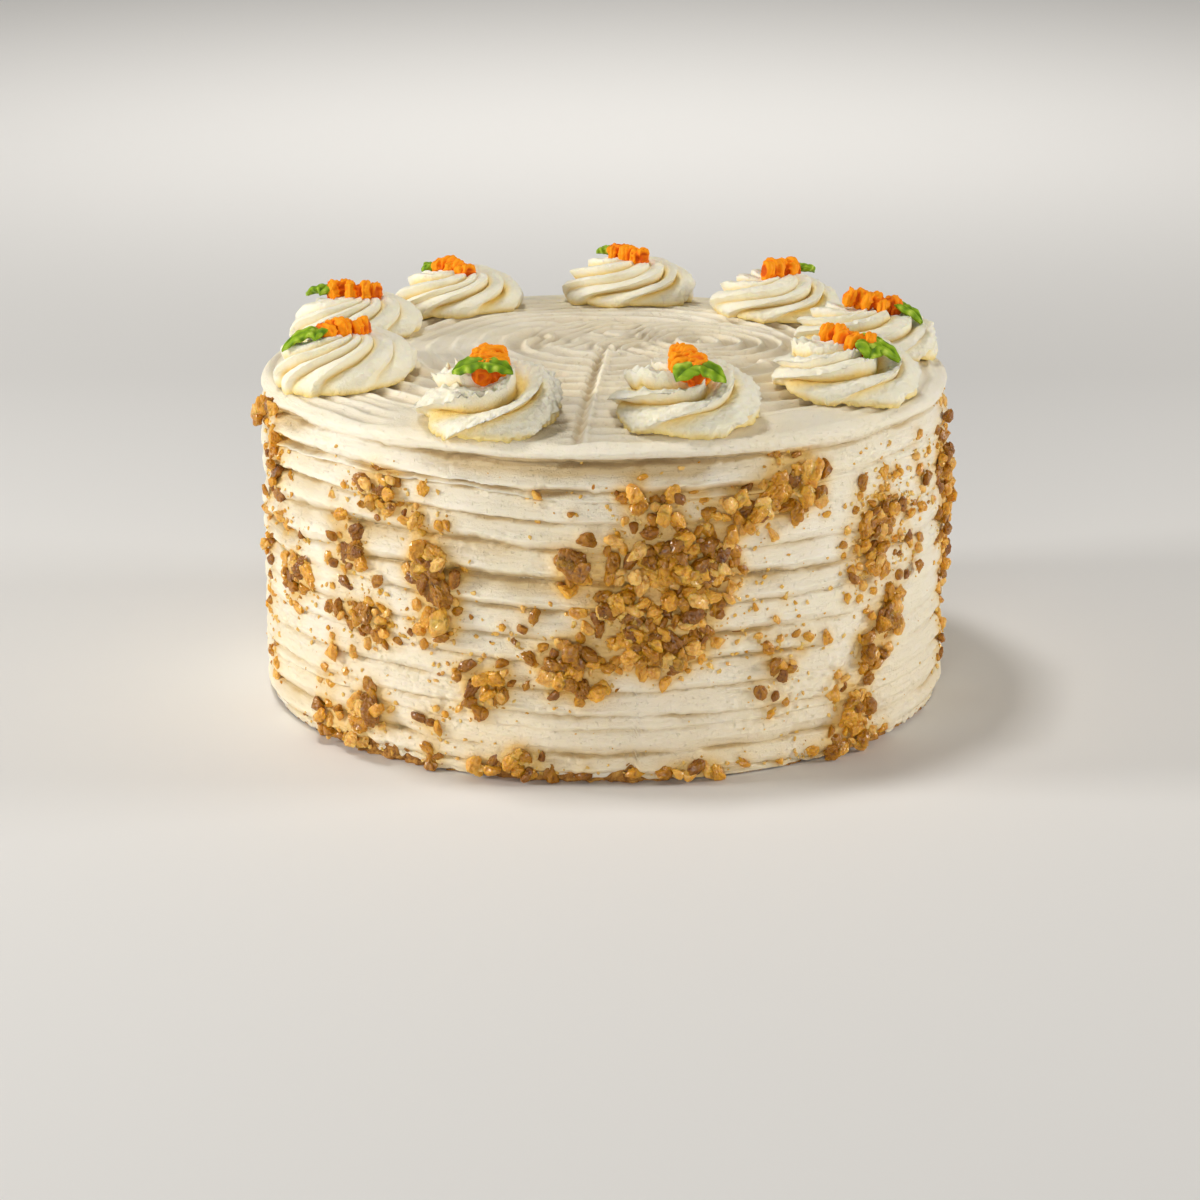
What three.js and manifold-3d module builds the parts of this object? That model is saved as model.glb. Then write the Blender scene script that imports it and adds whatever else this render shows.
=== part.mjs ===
// Round carrot cake under combed cream frosting, with chopped walnuts pressed into its side and a
// ring of nine piped rosettes, each carrying a small piped carrot with its green leaves.
// Millimetres, +Z up. The origin is the middle of the base, and the front faces -Y.
import * as THREE from "three";
import { mergeVertices } from "three/addons/utils/BufferGeometryUtils.js";
import Module from "manifold-3d";

// Driving sizes of the whole cake
const CAKE_RADIUS = 108;
const RIM_HEIGHT = 102.6;
const DOME_RISE = 7;
const DOME_RADIUS = 104;
const FROSTING_THICKNESS = 6.2;
const GAP = 0.3;
const SEGMENTS = 38;

// Sponge core and its foot, which shows below the frosting's ragged hem
const CORE_RADIUS = 101.8;
const FOOT_RADIUS = 105.4;
const FOOT_HEIGHT = 3.3;
const FOOT_SLOPE_TOP = 8;
const HEM_LOW = 0.7;
const HEM_HIGH = 3;

// Comb marks: level grooves up the side, rings on the top
const SIDE_GROOVE_FIRST = 7;
const SIDE_GROOVE_PITCH = 8.05;
const SIDE_GROOVES = 12;
const SIDE_GROOVE_DEPTH = 1.1;
const SIDE_WAVE = 0.7;
const RING_FIRST = 7;
const RING_PITCH = 8.7;
const RINGS = 9;
const RING_DEPTH = 1;

// Mark that the comb's end left across the top
const MARK_AZIMUTH = 265.5;
const MARK_FROM = 16;
const MARK_TO = 102;
const MARK_WIDTH = 3;
const MARK_DEPTH = 1.5;

// Piped rosettes: azimuth and distance of the middle, radius, height, fins, the swirl's turn and how late
// it turns
const ROSETTES = [
  { azimuth: 160, ring: 85, radius: 22, height: 14.2, fins: 10, swirl: 130, late: 1.4 },
  { azimuth: 125.5, ring: 83, radius: 22.4, height: 14.4, fins: 9, swirl: 150, late: 1.2 },
  { azimuth: 84, ring: 81.5, radius: 22.8, height: 15.4, fins: 7, swirl: 200, late: 1 },
  { azimuth: 45.5, ring: 81, radius: 22, height: 14.8, fins: 7, swirl: 195, late: 1 },
  { azimuth: 7, ring: 84, radius: 22.6, height: 15, fins: 8, swirl: 185, late: 1.1 },
  { azimuth: 329, ring: 85, radius: 22.7, height: 16, fins: 7, swirl: 225, late: 0.95 },
  { azimuth: 286.5, ring: 83.5, radius: 22.4, height: 17, fins: 6, swirl: 235, late: 0.9 },
  { azimuth: 248, ring: 88, radius: 22, height: 18, fins: 6, swirl: 240, late: 0.9 },
  { azimuth: 200, ring: 84.5, radius: 22.8, height: 15, fins: 10, swirl: 130, late: 1.4 },
];
const SWIRL_BULGE = 0.3;
const SWIRL_FOOT = 0.93;
const FIN_COLUMNS = 3;
const VALLEY = 0.2;
const TOP_VALLEY = 0.1;

// Carrot on each rosette: the way it points in degrees from outward, how far its thick end dips, height of
// its axis over the rosette's top, how broad it is, and how far it lies outward of the middle
const CARROTS = [
  { aim: 0, dip: 2, level: -0.6, breadth: 1, slide: 0 },
  { aim: 5, dip: 2, level: -1.5, breadth: 1, slide: 2 },
  { aim: 45, dip: 2, level: -0.8, breadth: 0.95, slide: 0 },
  { aim: 0, dip: 8, level: -1.1, breadth: 1, slide: 1.5 },
  { aim: -8, dip: 16, level: -1.5, breadth: 1.05, slide: 1 },
  { aim: -8, dip: 13, level: -1.7, breadth: 1.1, slide: 0 },
  { aim: 0, dip: 8, level: -1.2, breadth: 1.3, slide: 2 },
  { aim: 22, dip: 8, level: -1.2, breadth: 1.45, slide: 2 },
  { aim: 0, dip: 5, level: -1.4, breadth: 1.1, slide: 0 },
];
const CARROT_LENGTH = 19;
const CARROT_RADIUS = 4;
const CARROT_TIP = 0.4;
const CARROT_LUMPS = 4;
const CARROT_SIDES = 7;

// Ruffled leaves at the carrot's thick end
const LEAF_SPAN = 17;
const LEAF_LENGTH = 7;
const LEAF_THICKNESS = 1.3;
const LEAF_RUFFLE = 0.9;
const LEAF_COLUMNS = 6;
const LEAF_ROWS = 2;

// Chopped walnuts lie in drifts: place of the middle, half extents along the side and up it,
// lean in degrees, how many large pieces, and the largest piece's length
const DRIFTS = [
  { azimuth: -159, height: 84, along: 4, up: 9, lean: 0, large: 3, size: 7 },
  { azimuth: -128, height: 84, along: 11, up: 6, lean: -22, large: 4, size: 5.5 },
  { azimuth: -134, height: 62, along: 5, up: 8, lean: 0, large: 4, size: 6.5 },
  { azimuth: -118, height: 57, along: 5, up: 13, lean: 8, large: 7, size: 8.5 },
  { azimuth: -149, height: 49, along: 8, up: 8, lean: 20, large: 3, size: 7 },
  { azimuth: -133, height: 43, along: 11, up: 5, lean: 0, large: 2, size: 6 },
  { azimuth: -131, height: 13, along: 8, up: 5, lean: 10, large: 2, size: 8 },
  { azimuth: -109, height: 30, along: 7, up: 6, lean: 0, large: 3, size: 6.5 },
  { azimuth: -95, height: 65, along: 3, up: 12, lean: -6, large: 3, size: 8 },
  { azimuth: -96, height: 34, along: 8, up: 6, lean: 15, large: 3, size: 7.5 },
  { azimuth: -80, height: 63, along: 11, up: 14, lean: 10, large: 8, size: 8 },
  { azimuth: -81, height: 42, along: 9, up: 7, lean: 0, large: 4, size: 8 },
  { azimuth: -64, height: 84, along: 9, up: 5, lean: 30, large: 4, size: 7.5 },
  { azimuth: -58, height: 88, along: 3, up: 5, lean: 0, large: 2, size: 8.5 },
  { azimuth: -42, height: 67, along: 10, up: 12, lean: 0, large: 4, size: 6 },
  { azimuth: -38, height: 39, along: 4, up: 9, lean: -12, large: 4, size: 8 },
  { azimuth: -46, height: 14, along: 5, up: 7, lean: 20, large: 3, size: 7.5 },
  { azimuth: -12, height: 72, along: 6, up: 20, lean: 0, large: 4, size: 7 },
];
const NUT_WIDTH_SHARE = 0.72;
const NUT_DEPTH_SHARE = 0.62;
const NUT_SINK_SHARE = 0.16;
const NUT_LOWEST = 4.5;
const NUT_HIGHEST = 94;
const BACK_SHARE = 0.3;
const SEED = 20;
const TOLERANCE = 0.09;

const wasm = await Module();
wasm.setup();

const radians = THREE.MathUtils.degToRad;

// Seeded random numbers between 0 and 1
function randomFrom(seed) {
  let state = seed >>> 0;
  return function next() {
    state = (state + 0x6d2b79f5) >>> 0;
    let t = state;
    t = Math.imul(t ^ (t >>> 15), t | 1);
    t ^= t + Math.imul(t ^ (t >>> 7), t | 61);
    return ((t ^ (t >>> 14)) >>> 0) / 4294967296;
  };
}

// Closed geometry to solid, and back
function solidFrom(geometry) {
  const bare = new THREE.BufferGeometry();
  bare.setAttribute("position", geometry.getAttribute("position"));
  if (geometry.index) bare.setIndex(geometry.index);
  const merged = mergeVertices(bare, 1e-3);
  return new wasm.Manifold(
    new wasm.Mesh({
      numProp: 3,
      vertProperties: merged.getAttribute("position").array,
      triVerts: new Uint32Array(merged.index.array),
    }),
  );
}

function geometryFrom(solid) {
  const mesh = solid.getMesh();
  const geometry = new THREE.BufferGeometry();
  geometry.setAttribute("position", new THREE.BufferAttribute(mesh.vertProperties, 3));
  geometry.setIndex(new THREE.BufferAttribute(mesh.triVerts, 1));
  geometry.computeVertexNormals();
  return geometry;
}

// The solid without the pockets that touching pieces seal between them
function outermost(solid) {
  return solid.decompose().reduce((most, body) => (body.volume() > most.volume() ? body : most));
}

// Moves every vertex: place is called with the vertex and changes it
function vary(geometry, place) {
  const position = geometry.getAttribute("position");
  const vertex = new THREE.Vector3();
  for (let i = 0; i < position.count; i++) {
    vertex.fromBufferAttribute(position, i);
    place(vertex);
    position.setXYZ(i, vertex.x, vertex.y, vertex.z);
  }
  return geometry;
}

// Surface of revolution about +Z from [radius, height] pairs
function revolve(profile, segments) {
  const points = profile.map(([radius, height]) => new THREE.Vector2(radius, height));
  return new THREE.LatheGeometry(points, segments).rotateX(Math.PI / 2).rotateZ(Math.PI / 2);
}

function domeHeight(radius) {
  return RIM_HEIGHT + DOME_RISE * (1 - (radius / DOME_RADIUS) ** 2);
}

// Height of the frosting's lower edge, between bare patches of sponge and the board
function hemHeight(azimuth) {
  const wave = Math.sin(3 * azimuth + 1.1) + Math.sin(7 * azimuth + 0.4) + Math.sin(13 * azimuth);
  const lift = THREE.MathUtils.smoothstep(wave, 0, 2);
  return HEM_LOW + (HEM_HIGH - HEM_LOW) * lift;
}

// The core's outline from the foot's edge up and in to the axis, moved out by the clearance
function coreProfile(clearance) {
  const shoulder = RIM_HEIGHT - FROSTING_THICKNESS;
  const profile = [
    [FOOT_RADIUS + clearance, FOOT_HEIGHT + clearance / 3],
    [CORE_RADIUS + clearance, FOOT_SLOPE_TOP + clearance / 2],
    [CORE_RADIUS + clearance, shoulder - 3],
    [CORE_RADIUS - 3 + clearance, shoulder + clearance],
  ];
  for (const radius of [70, 35, 0]) {
    profile.push([radius, domeHeight(radius) - FROSTING_THICKNESS + clearance]);
  }
  return profile;
}

function sponge() {
  const profile = [[0, 0], [FOOT_RADIUS, 0], ...coreProfile(0)];
  return solidFrom(revolve(profile, SEGMENTS));
}

// Outline of the combed frosting from the axis over the top and down the side
function combedProfile() {
  const profile = [[0, domeHeight(0) - RING_DEPTH]];
  for (let ring = 0; ring < RINGS; ring++) {
    const crest = RING_FIRST + ring * RING_PITCH;
    const groove = crest + RING_PITCH / 2;
    profile.push([crest, domeHeight(crest)]);
    profile.push([groove, domeHeight(groove) - RING_DEPTH]);
  }
  profile.push([93, domeHeight(93)]);
  profile.push([DOME_RADIUS, domeHeight(DOME_RADIUS)]);
  profile.push([CAKE_RADIUS - 1.4, RIM_HEIGHT - 1.5]);
  for (let k = SIDE_GROOVES - 1; k >= 0; k--) {
    const groove = SIDE_GROOVE_FIRST + k * SIDE_GROOVE_PITCH;
    if (k < SIDE_GROOVES - 1) profile.push([CAKE_RADIUS, groove + SIDE_GROOVE_PITCH / 2]);
    profile.push([CAKE_RADIUS - SIDE_GROOVE_DEPTH, groove]);
  }
  return profile;
}

function frostingShell() {
  const hemRadius = CAKE_RADIUS - 0.6;
  const hemInside = FOOT_RADIUS + GAP;
  const profile = [...combedProfile(), [hemRadius, 0], [hemInside, 0], ...coreProfile(GAP)];
  const geometry = revolve(profile.reverse(), SEGMENTS);
  const combTop = SIDE_GROOVE_FIRST + (SIDE_GROOVES - 1) * SIDE_GROOVE_PITCH + 0.1;
  return vary(geometry, (vertex) => {
    const azimuth = Math.atan2(vertex.y, vertex.x);
    const outside = Math.hypot(vertex.x, vertex.y) > CAKE_RADIUS - 2;
    if (vertex.z < HEM_LOW) {
      vertex.z = hemHeight(azimuth);
    } else if (outside && vertex.z < combTop) {
      vertex.z += SIDE_WAVE * (Math.sin(2 * azimuth + vertex.z) + 0.5 * Math.sin(5 * azimuth));
    }
  });
}

// Strip that follows the dome and is taken out of the top as the comb's end mark
function combMark() {
  const outline = new THREE.Shape();
  outline.moveTo(MARK_FROM, domeHeight(0) + 2);
  const steps = 4;
  for (let i = 0; i <= steps; i++) {
    const radius = THREE.MathUtils.lerp(MARK_FROM, MARK_TO, i / steps);
    outline.lineTo(radius, domeHeight(radius) - MARK_DEPTH);
  }
  outline.lineTo(MARK_TO, domeHeight(0) + 2);
  const strip = new THREE.ExtrudeGeometry(outline, { depth: MARK_WIDTH, bevelEnabled: false });
  strip.translate(0, 0, -MARK_WIDTH / 2).rotateX(Math.PI / 2);
  return strip.rotateZ(radians(MARK_AZIMUTH));
}

// Angular chopped piece with the given length, set on the side at its place
function nut({ azimuth, height, length, spin, phase }) {
  const piece = new THREE.IcosahedronGeometry(0.5, 0);
  vary(piece, (v) => {
    v.multiplyScalar(1 + 0.25 * Math.sin(5 * v.x + 4 * v.y + phase) * Math.cos(6 * v.z - phase));
  });
  const depth = length * NUT_DEPTH_SHARE;
  piece.scale(length, length * NUT_WIDTH_SHARE, depth);
  piece.rotateZ(spin);
  const outward = new THREE.Vector3(Math.cos(azimuth), Math.sin(azimuth), 0);
  const along = new THREE.Vector3(-outward.y, outward.x, 0);
  const place = new THREE.Matrix4().makeBasis(along, new THREE.Vector3(0, 0, 1), outward);
  const radius = CAKE_RADIUS - SIDE_GROOVE_DEPTH / 2 + depth * NUT_SINK_SHARE;
  place.setPosition(radius * outward.x, radius * outward.y, height);
  return piece.applyMatrix4(place);
}

// Large pieces of one drift, the largest first; mirror is -1 for its counterpart at the back
function driftNuts(drift, seed, mirror) {
  const random = randomFrom(seed);
  const lean = radians(drift.lean);
  const count = mirror > 0 ? drift.large : Math.round(drift.large * BACK_SHARE);
  const nuts = [];
  for (let i = 0; i < count; i++) {
    const angle = 2.4 * i + 6.28 * random() * 0.25;
    const reach = Math.sqrt((i + 0.35) / drift.large);
    const across = drift.along * reach * Math.cos(angle);
    const rise = drift.up * reach * Math.sin(angle);
    const along = across * Math.cos(lean) - rise * Math.sin(lean);
    const up = across * Math.sin(lean) + rise * Math.cos(lean);
    nuts.push({
      azimuth: mirror * (radians(drift.azimuth) + along / CAKE_RADIUS),
      height: THREE.MathUtils.clamp(drift.height + up, NUT_LOWEST, NUT_HIGHEST),
      length: drift.size * (1 - 0.3 * (i / drift.large)) * (0.9 + 0.15 * random()),
      spin: Math.PI * random(),
      phase: 6 * random(),
    });
  }
  return nuts;
}

function frosting() {
  const nuts = [];
  DRIFTS.forEach((drift, index) => {
    nuts.push(...driftNuts(drift, SEED + index, 1));
    nuts.push(...driftNuts(drift, SEED + DRIFTS.length + index, -1));
  });
  const shell = solidFrom(frostingShell()).subtract(solidFrom(combMark()));
  const joined = wasm.Manifold.union([shell, ...nuts.map((piece) => solidFrom(nut(piece)))]);
  return outermost(joined.simplify(TOLERANCE));
}

// Height of a rosette's swirl over its base, by the distance from its middle as a share of its radius
function swirlHeight(share) {
  const rounded = Math.max(0, 1 - share ** 2.6) ** 0.5;
  return SWIRL_BULGE + (1 - SWIRL_BULGE) * rounded;
}

// Places a shape made round the origin on the dome at a rosette's middle, with +X pointing outward
function seat(geometry, rosette) {
  const azimuth = radians(rosette.azimuth);
  geometry.translate(rosette.ring, 0, 0);
  vary(geometry, (vertex) => {
    const share = THREE.MathUtils.clamp(vertex.z / rosette.height, 0, 1);
    const under = domeHeight(Math.hypot(vertex.x, vertex.y));
    vertex.z += GAP + THREE.MathUtils.lerp(under, domeHeight(rosette.ring), share);
  });
  return geometry.rotateZ(azimuth);
}

// Relief of a fin over one period: 1 at its crest, a steep drop to 0, then a slow rise
function finRelief(share) {
  const skew = 1 / FIN_COLUMNS;
  const rise = share < skew ? 1 - share / skew : (share - skew) / (1 - skew);
  return Math.max(0, rise) ** 0.6;
}

// Twisted dome of fins with sharp valleys between them
function swirl(rosette) {
  const { radius, height, fins } = rosette;
  const profile = [[0, height]];
  for (const share of [0.42, 0.7, 0.9]) {
    profile.push([radius * share, height * swirlHeight(share)]);
  }
  profile.push([radius, height * SWIRL_BULGE]);
  profile.push([radius * SWIRL_FOOT, 0], [0, 0]);
  const geometry = revolve(profile.reverse(), FIN_COLUMNS * fins);
  return vary(geometry, (vertex) => {
    const distance = Math.hypot(vertex.x, vertex.y);
    const azimuth = Math.atan2(vertex.y, vertex.x);
    const step = Math.round((azimuth / (2 * Math.PI)) * FIN_COLUMNS * fins);
    const relief = finRelief(THREE.MathUtils.euclideanModulo(step, FIN_COLUMNS) / FIN_COLUMNS);
    const lobe = 1 + 0.025 * Math.sin(2 * azimuth + rosette.azimuth);
    const reach = distance * lobe * (1 - VALLEY * (1 - relief));
    const progress = (vertex.z + radius - distance) / (height + radius);
    const turned = azimuth + radians(rosette.swirl) * Math.max(0, progress) ** rosette.late;
    vertex.x = reach * Math.cos(turned);
    vertex.y = reach * Math.sin(turned);
    if (distance > 0.01) vertex.z *= 1 - TOP_VALLEY * (1 - relief);
  });
}

// Row of lumps along X that tapers towards the cake's middle, made fatter all round by grow
function carrot(rosette, grow) {
  const profile = [[0, -grow]];
  for (let i = 0; i < CARROT_LUMPS; i++) {
    const start = i / CARROT_LUMPS;
    const middle = (i + 0.5) / CARROT_LUMPS;
    const taper = THREE.MathUtils.lerp(CARROT_TIP, 1, middle);
    if (i > 0) profile.push([CARROT_RADIUS * taper * 0.74 + grow, start * CARROT_LENGTH]);
    profile.push([CARROT_RADIUS * taper + grow, middle * CARROT_LENGTH]);
  }
  profile.push([0, CARROT_LENGTH + grow]);
  const body = revolve(profile, CARROT_SIDES);
  body.translate(0, 0, -CARROT_LENGTH / 2).rotateY(Math.PI / 2);
  vary(body, (vertex) => {
    vertex.y *= rosette.breadth;
    vertex.y += 0.7 * Math.sin((vertex.x / CARROT_LENGTH) * 2 * Math.PI * CARROT_LUMPS * 0.5);
    vertex.z *= 0.85;
  });
  const lift = 0.5 * (CARROT_LENGTH / 2) * Math.sin(radians(rosette.dip));
  body.rotateY(radians(rosette.dip)).rotateZ(radians(rosette.aim));
  body.translate(rosette.slide, 0, rosette.height + rosette.level + lift);
  return seat(body, rosette);
}

// Pair of thin ruffled leaves in one sheet behind the carrot, made larger all round by grow
function leaves(rosette, grow) {
  const sheet = new THREE.BoxGeometry(
    LEAF_LENGTH + 2 * grow,
    LEAF_SPAN + 2 * grow,
    LEAF_THICKNESS + 2 * grow,
    LEAF_ROWS,
    LEAF_COLUMNS,
    1,
  );
  const inner = CARROT_LENGTH / 2 + GAP + 0.2;
  vary(sheet, (vertex) => {
    const aside = vertex.y / (LEAF_SPAN / 2);
    const outward = vertex.x / LEAF_LENGTH + 0.5;
    const narrowed = 1 - 0.62 * Math.abs(aside) ** 1.6 - 0.25 * Math.cos(aside * Math.PI * 0.5) ** 4;
    const x = inner + LEAF_LENGTH * (0.5 + (outward - 0.5) * narrowed) - 1.6 * aside ** 2;
    const ruffle = LEAF_RUFFLE * Math.sin(aside * 7 + rosette.azimuth) * (0.4 + 0.6 * outward);
    const share = Math.hypot(x, vertex.y) / rosette.radius;
    vertex.x = x;
    vertex.z += rosette.height * swirlHeight(share) + 0.7 + ruffle + LEAF_THICKNESS / 2;
  });
  return seat(sheet.rotateZ(radians(rosette.aim)).translate(rosette.slide, 0, 0), rosette);
}

// Each piece's name, solid and finish
const CREAM = { color: 0xf0e6c8, roughness: 0.55 };
const CRUMB = { color: 0x8a5a2b, roughness: 0.9 };
const ORANGE = { color: 0xe8680c, roughness: 0.45 };
const GREEN = { color: 0x5f9a2c, roughness: 0.5 };

const cake = new THREE.Group();

function add(name, solid, finish) {
  const material = new THREE.MeshStandardMaterial({ metalness: 0, ...finish });
  const mesh = new THREE.Mesh(geometryFrom(solid), material);
  mesh.name = name;
  cake.add(mesh);
}

add("sponge", sponge(), CRUMB);
add("frosting", frosting(), CREAM);
ROSETTES.forEach((sizes, index) => {
  const rosette = { ...sizes, ...CARROTS[index] };
  const number = index + 1;
  const nestled = solidFrom(carrot(rosette, GAP));
  const draped = solidFrom(leaves(rosette, GAP));
  const piped = solidFrom(seat(swirl(rosette), rosette));
  add(`rosette_${number}`, piped.subtract(nestled).subtract(draped), CREAM);
  add(`carrot_${number}`, solidFrom(carrot(rosette, 0)), ORANGE);
  add(`leaves_${number}`, solidFrom(leaves(rosette, 0)).subtract(nestled), GREEN);
});

export default cake;
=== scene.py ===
"""Carrot cake in combed cream frosting, with chopped walnuts and piped rosettes, dressed over its frame.

Lengths are millimetres until a mesh is made, azimuths are degrees from +X, and the front faces -Y.
"""
import math

import bmesh
import bpy
import numpy as np
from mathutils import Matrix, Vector


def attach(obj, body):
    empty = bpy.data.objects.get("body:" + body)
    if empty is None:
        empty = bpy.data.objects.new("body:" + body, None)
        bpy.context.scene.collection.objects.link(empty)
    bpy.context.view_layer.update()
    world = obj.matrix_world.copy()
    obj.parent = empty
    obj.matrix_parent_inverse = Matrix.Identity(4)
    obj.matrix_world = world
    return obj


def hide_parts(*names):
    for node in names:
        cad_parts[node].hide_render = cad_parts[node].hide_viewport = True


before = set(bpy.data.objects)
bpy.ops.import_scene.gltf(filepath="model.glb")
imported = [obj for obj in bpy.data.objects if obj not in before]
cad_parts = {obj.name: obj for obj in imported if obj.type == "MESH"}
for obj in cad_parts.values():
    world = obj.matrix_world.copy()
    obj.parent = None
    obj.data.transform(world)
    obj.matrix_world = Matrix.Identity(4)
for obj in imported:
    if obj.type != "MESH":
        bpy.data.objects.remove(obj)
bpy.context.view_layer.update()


MM = 0.001
TURN = 2 * math.pi

# Sizes shared with the frame's solids
CAKE_RADIUS = 108.0
RIM_HEIGHT = 102.6
DOME_RISE = 7.0
DOME_RADIUS = 104.0
RIM_ROUNDING = 4.6
CORE_RADIUS = 101.8
FOOT_RADIUS = 105.4
FOOT_HEIGHT = 3.3
BARE_HEIGHT = 7.0
FROSTING_THICKNESS = 6.2
GAP = 0.3
HEM_LOW = 0.7
HEM_LIFT = 1.38
HEM_TUCK = 1.1
# Bare patches of the foot: azimuth and half width in degrees, and how much higher the frosting ends there
HEM_PATCHES = (
    (-87, 6, 3.0), (-129, 9, 2.8), (-105, 3, 1.8), (-36, 10, 2.6), (15, 8, 2.5), (75, 10, 2.6), (140, 9, 2.8),
)
ROSETTES = 9


# Noise and random draws

def lattice(ix, iy, iz, seed):
    """Repeatable random numbers from -1 to 1 at whole-numbered places."""
    h = (ix * 374761393 + iy * 668265263 + iz * 1442695041 + seed * 974634777) & 0xFFFFFFFF
    h = ((h ^ (h >> 13)) * 1274126177) & 0xFFFFFFFF
    return ((h ^ (h >> 16)) & 0xFFFF) / 32767.5 - 1.0


def noise(x, y, z, seed=0):
    """Smooth noise from about -1 to 1, features one unit across."""
    x, y, z = np.broadcast_arrays(np.asarray(x, float), np.asarray(y, float), np.asarray(z, float))
    cells = [np.floor(c).astype(np.int64) for c in (x, y, z)]
    parts = [c - cell for c, cell in zip((x, y, z), cells)]
    u, v, w = (p * p * p * (p * (p * 6 - 15) + 10) for p in parts)
    total = np.zeros(x.shape)
    for corner in range(8):
        i, j, k = corner & 1, corner >> 1 & 1, corner >> 2 & 1
        weight = (u if i else 1 - u) * (v if j else 1 - v) * (w if k else 1 - w)
        total += weight * lattice(cells[0] + i, cells[1] + j, cells[2] + k, seed)
    return total * 1.5


def smoothstep(low, high, x):
    """0 below low, 1 above high, smooth between."""
    t = np.clip((x - low) / (high - low), 0, 1)
    return t * t * (3 - 2 * t)


def gauss(x, width):
    """Bell curve of height 1."""
    return np.exp(-((x / width) ** 2))


def between(x, first, full, fading, last):
    """1 from full to fading, smooth to 0 at first and last."""
    return smoothstep(first, full, x) * smoothstep(last, fading, x)


def fixed_draw(a, b, c, seed):
    """The lattice's number at one place."""
    return float(lattice(np.int64(a), np.int64(b), np.int64(c), seed))


def layered(x, y, z, layers):
    """Sum of noises of (height, size across, size up, seed)."""
    return sum(tall * noise(x / wide, y / wide, z / up, seed) for tall, wide, up, seed in layers)


def noise_round(azimuth, scale, z, seed):
    """Noise that closes on itself round the cake."""
    return noise(scale * np.cos(azimuth), scale * np.sin(azimuth), z, seed)


def wrapped(angle):
    """The same angle from -pi to pi."""
    return (angle + math.pi) % TURN - math.pi


def rotated(x, y, angle):
    """Point turned about the origin."""
    c, s = np.cos(angle), np.sin(angle)
    return x * c - y * s, x * s + y * c


# Meshes

def new_mesh(name, vertices, *faces, smooth=True, **layers):
    """Object from vertices in millimetres, arrays of faces, and layers of a number per vertex."""
    faces = [np.ascontiguousarray(part, np.int32) for part in faces]
    mesh = bpy.data.meshes.new(name)
    corners = np.concatenate([part.ravel() for part in faces])
    sides = np.concatenate([np.full(len(part), part.shape[1]) for part in faces])
    mesh.vertices.add(len(vertices))
    mesh.vertices.foreach_set("co", (np.asarray(vertices, float) * MM).astype(np.float32).ravel())
    mesh.loops.add(len(corners))
    mesh.loops.foreach_set("vertex_index", corners)
    mesh.polygons.add(len(sides))
    mesh.polygons.foreach_set("loop_start", np.concatenate([[0], np.cumsum(sides)[:-1]]).astype(np.int32))
    mesh.polygons.foreach_set("use_smooth", np.full(len(sides), smooth))
    mesh.update(calc_edges=True)
    for layer_name, values in layers.items():
        add_layer(mesh, layer_name, values)
    return placed(name, mesh)


def placed(name, data):
    """New object in the scene."""
    made = bpy.data.objects.new(name, data)
    bpy.context.scene.collection.objects.link(made)
    return made


def add_layer(mesh, name, values):
    """Keeps a number per vertex in a mesh."""
    layer = mesh.attributes.new(name, "FLOAT", "POINT")
    layer.data.foreach_set("value", np.asarray(values, np.float32).ravel())


def read_vertices(mesh, field):
    """A field of three numbers per vertex as an array."""
    values = np.zeros(len(mesh.vertices) * 3)
    mesh.vertices.foreach_get(field, values)
    return values.reshape(-1, 3)


def grid_faces(rows, columns, closed=True):
    """Quads between rows of vertices."""
    last = columns if closed else columns - 1
    row, column = np.meshgrid(np.arange(rows - 1), np.arange(last), indexing="ij")
    after = (column + 1) % columns
    return np.stack([row * columns + column, row * columns + after,
                     (row + 1) * columns + after, (row + 1) * columns + column], -1).reshape(-1, 4)


def closed_faces(rows, columns):
    """Quads between rows of a round grid, and fans from its end rows to two more vertices."""
    ring = np.arange(columns)
    after = np.roll(ring, -1)
    count = rows * columns
    last = count - columns
    fans = np.vstack([np.stack([np.full(columns, count), after, ring], -1),
                      np.stack([np.full(columns, count + 1), last + ring, last + after], -1)])
    return grid_faces(rows, columns), fans


def dress(piece, material, nodes=()):
    """Gives a piece its material and body, and hides the frame's nodes that it stands for."""
    piece.data.materials.clear()
    piece.data.materials.append(material)
    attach(piece, "root")
    if nodes:
        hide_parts(*nodes)


def apply_modifiers(piece):
    """Turns a piece's modifiers into its mesh."""
    plain = piece.data
    piece.data = bpy.data.meshes.new_from_object(piece.evaluated_get(bpy.context.evaluated_depsgraph_get()))
    piece.modifiers.clear()
    bpy.data.meshes.remove(plain)
    piece.data.name = piece.name


# Materials

CREAM_LOW = (0.90, 0.81, 0.61)
CREAM_HIGH = (0.93, 0.865, 0.72)
# Painted warm shade for the frosting's comb tracks and ring valleys
CREAM_PAINTED_SHADE = (0.60, 0.43, 0.19)
# Golden tint round the nuts: partly their oil stain, partly painted shade
CREAM_STAIN_AND_SHADE = (0.80, 0.51, 0.13)
PIPED_LOW = (0.94, 0.87, 0.67)
PIPED_HIGH = (0.97, 0.92, 0.76)
# Painted glow and shade: yellow for the rosettes' valleys and foot
PIPED_PAINTED_GLOW_SHADE = (0.94, 0.71, 0.24)
CREAM_GLOW = (1.0, 0.8, 0.3)
NUT_GLOW = (1.0, 0.55, 0.12)
BLACK = (0.0, 0.0, 0.0)
WHITE = (1.0, 1.0, 1.0)


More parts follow.
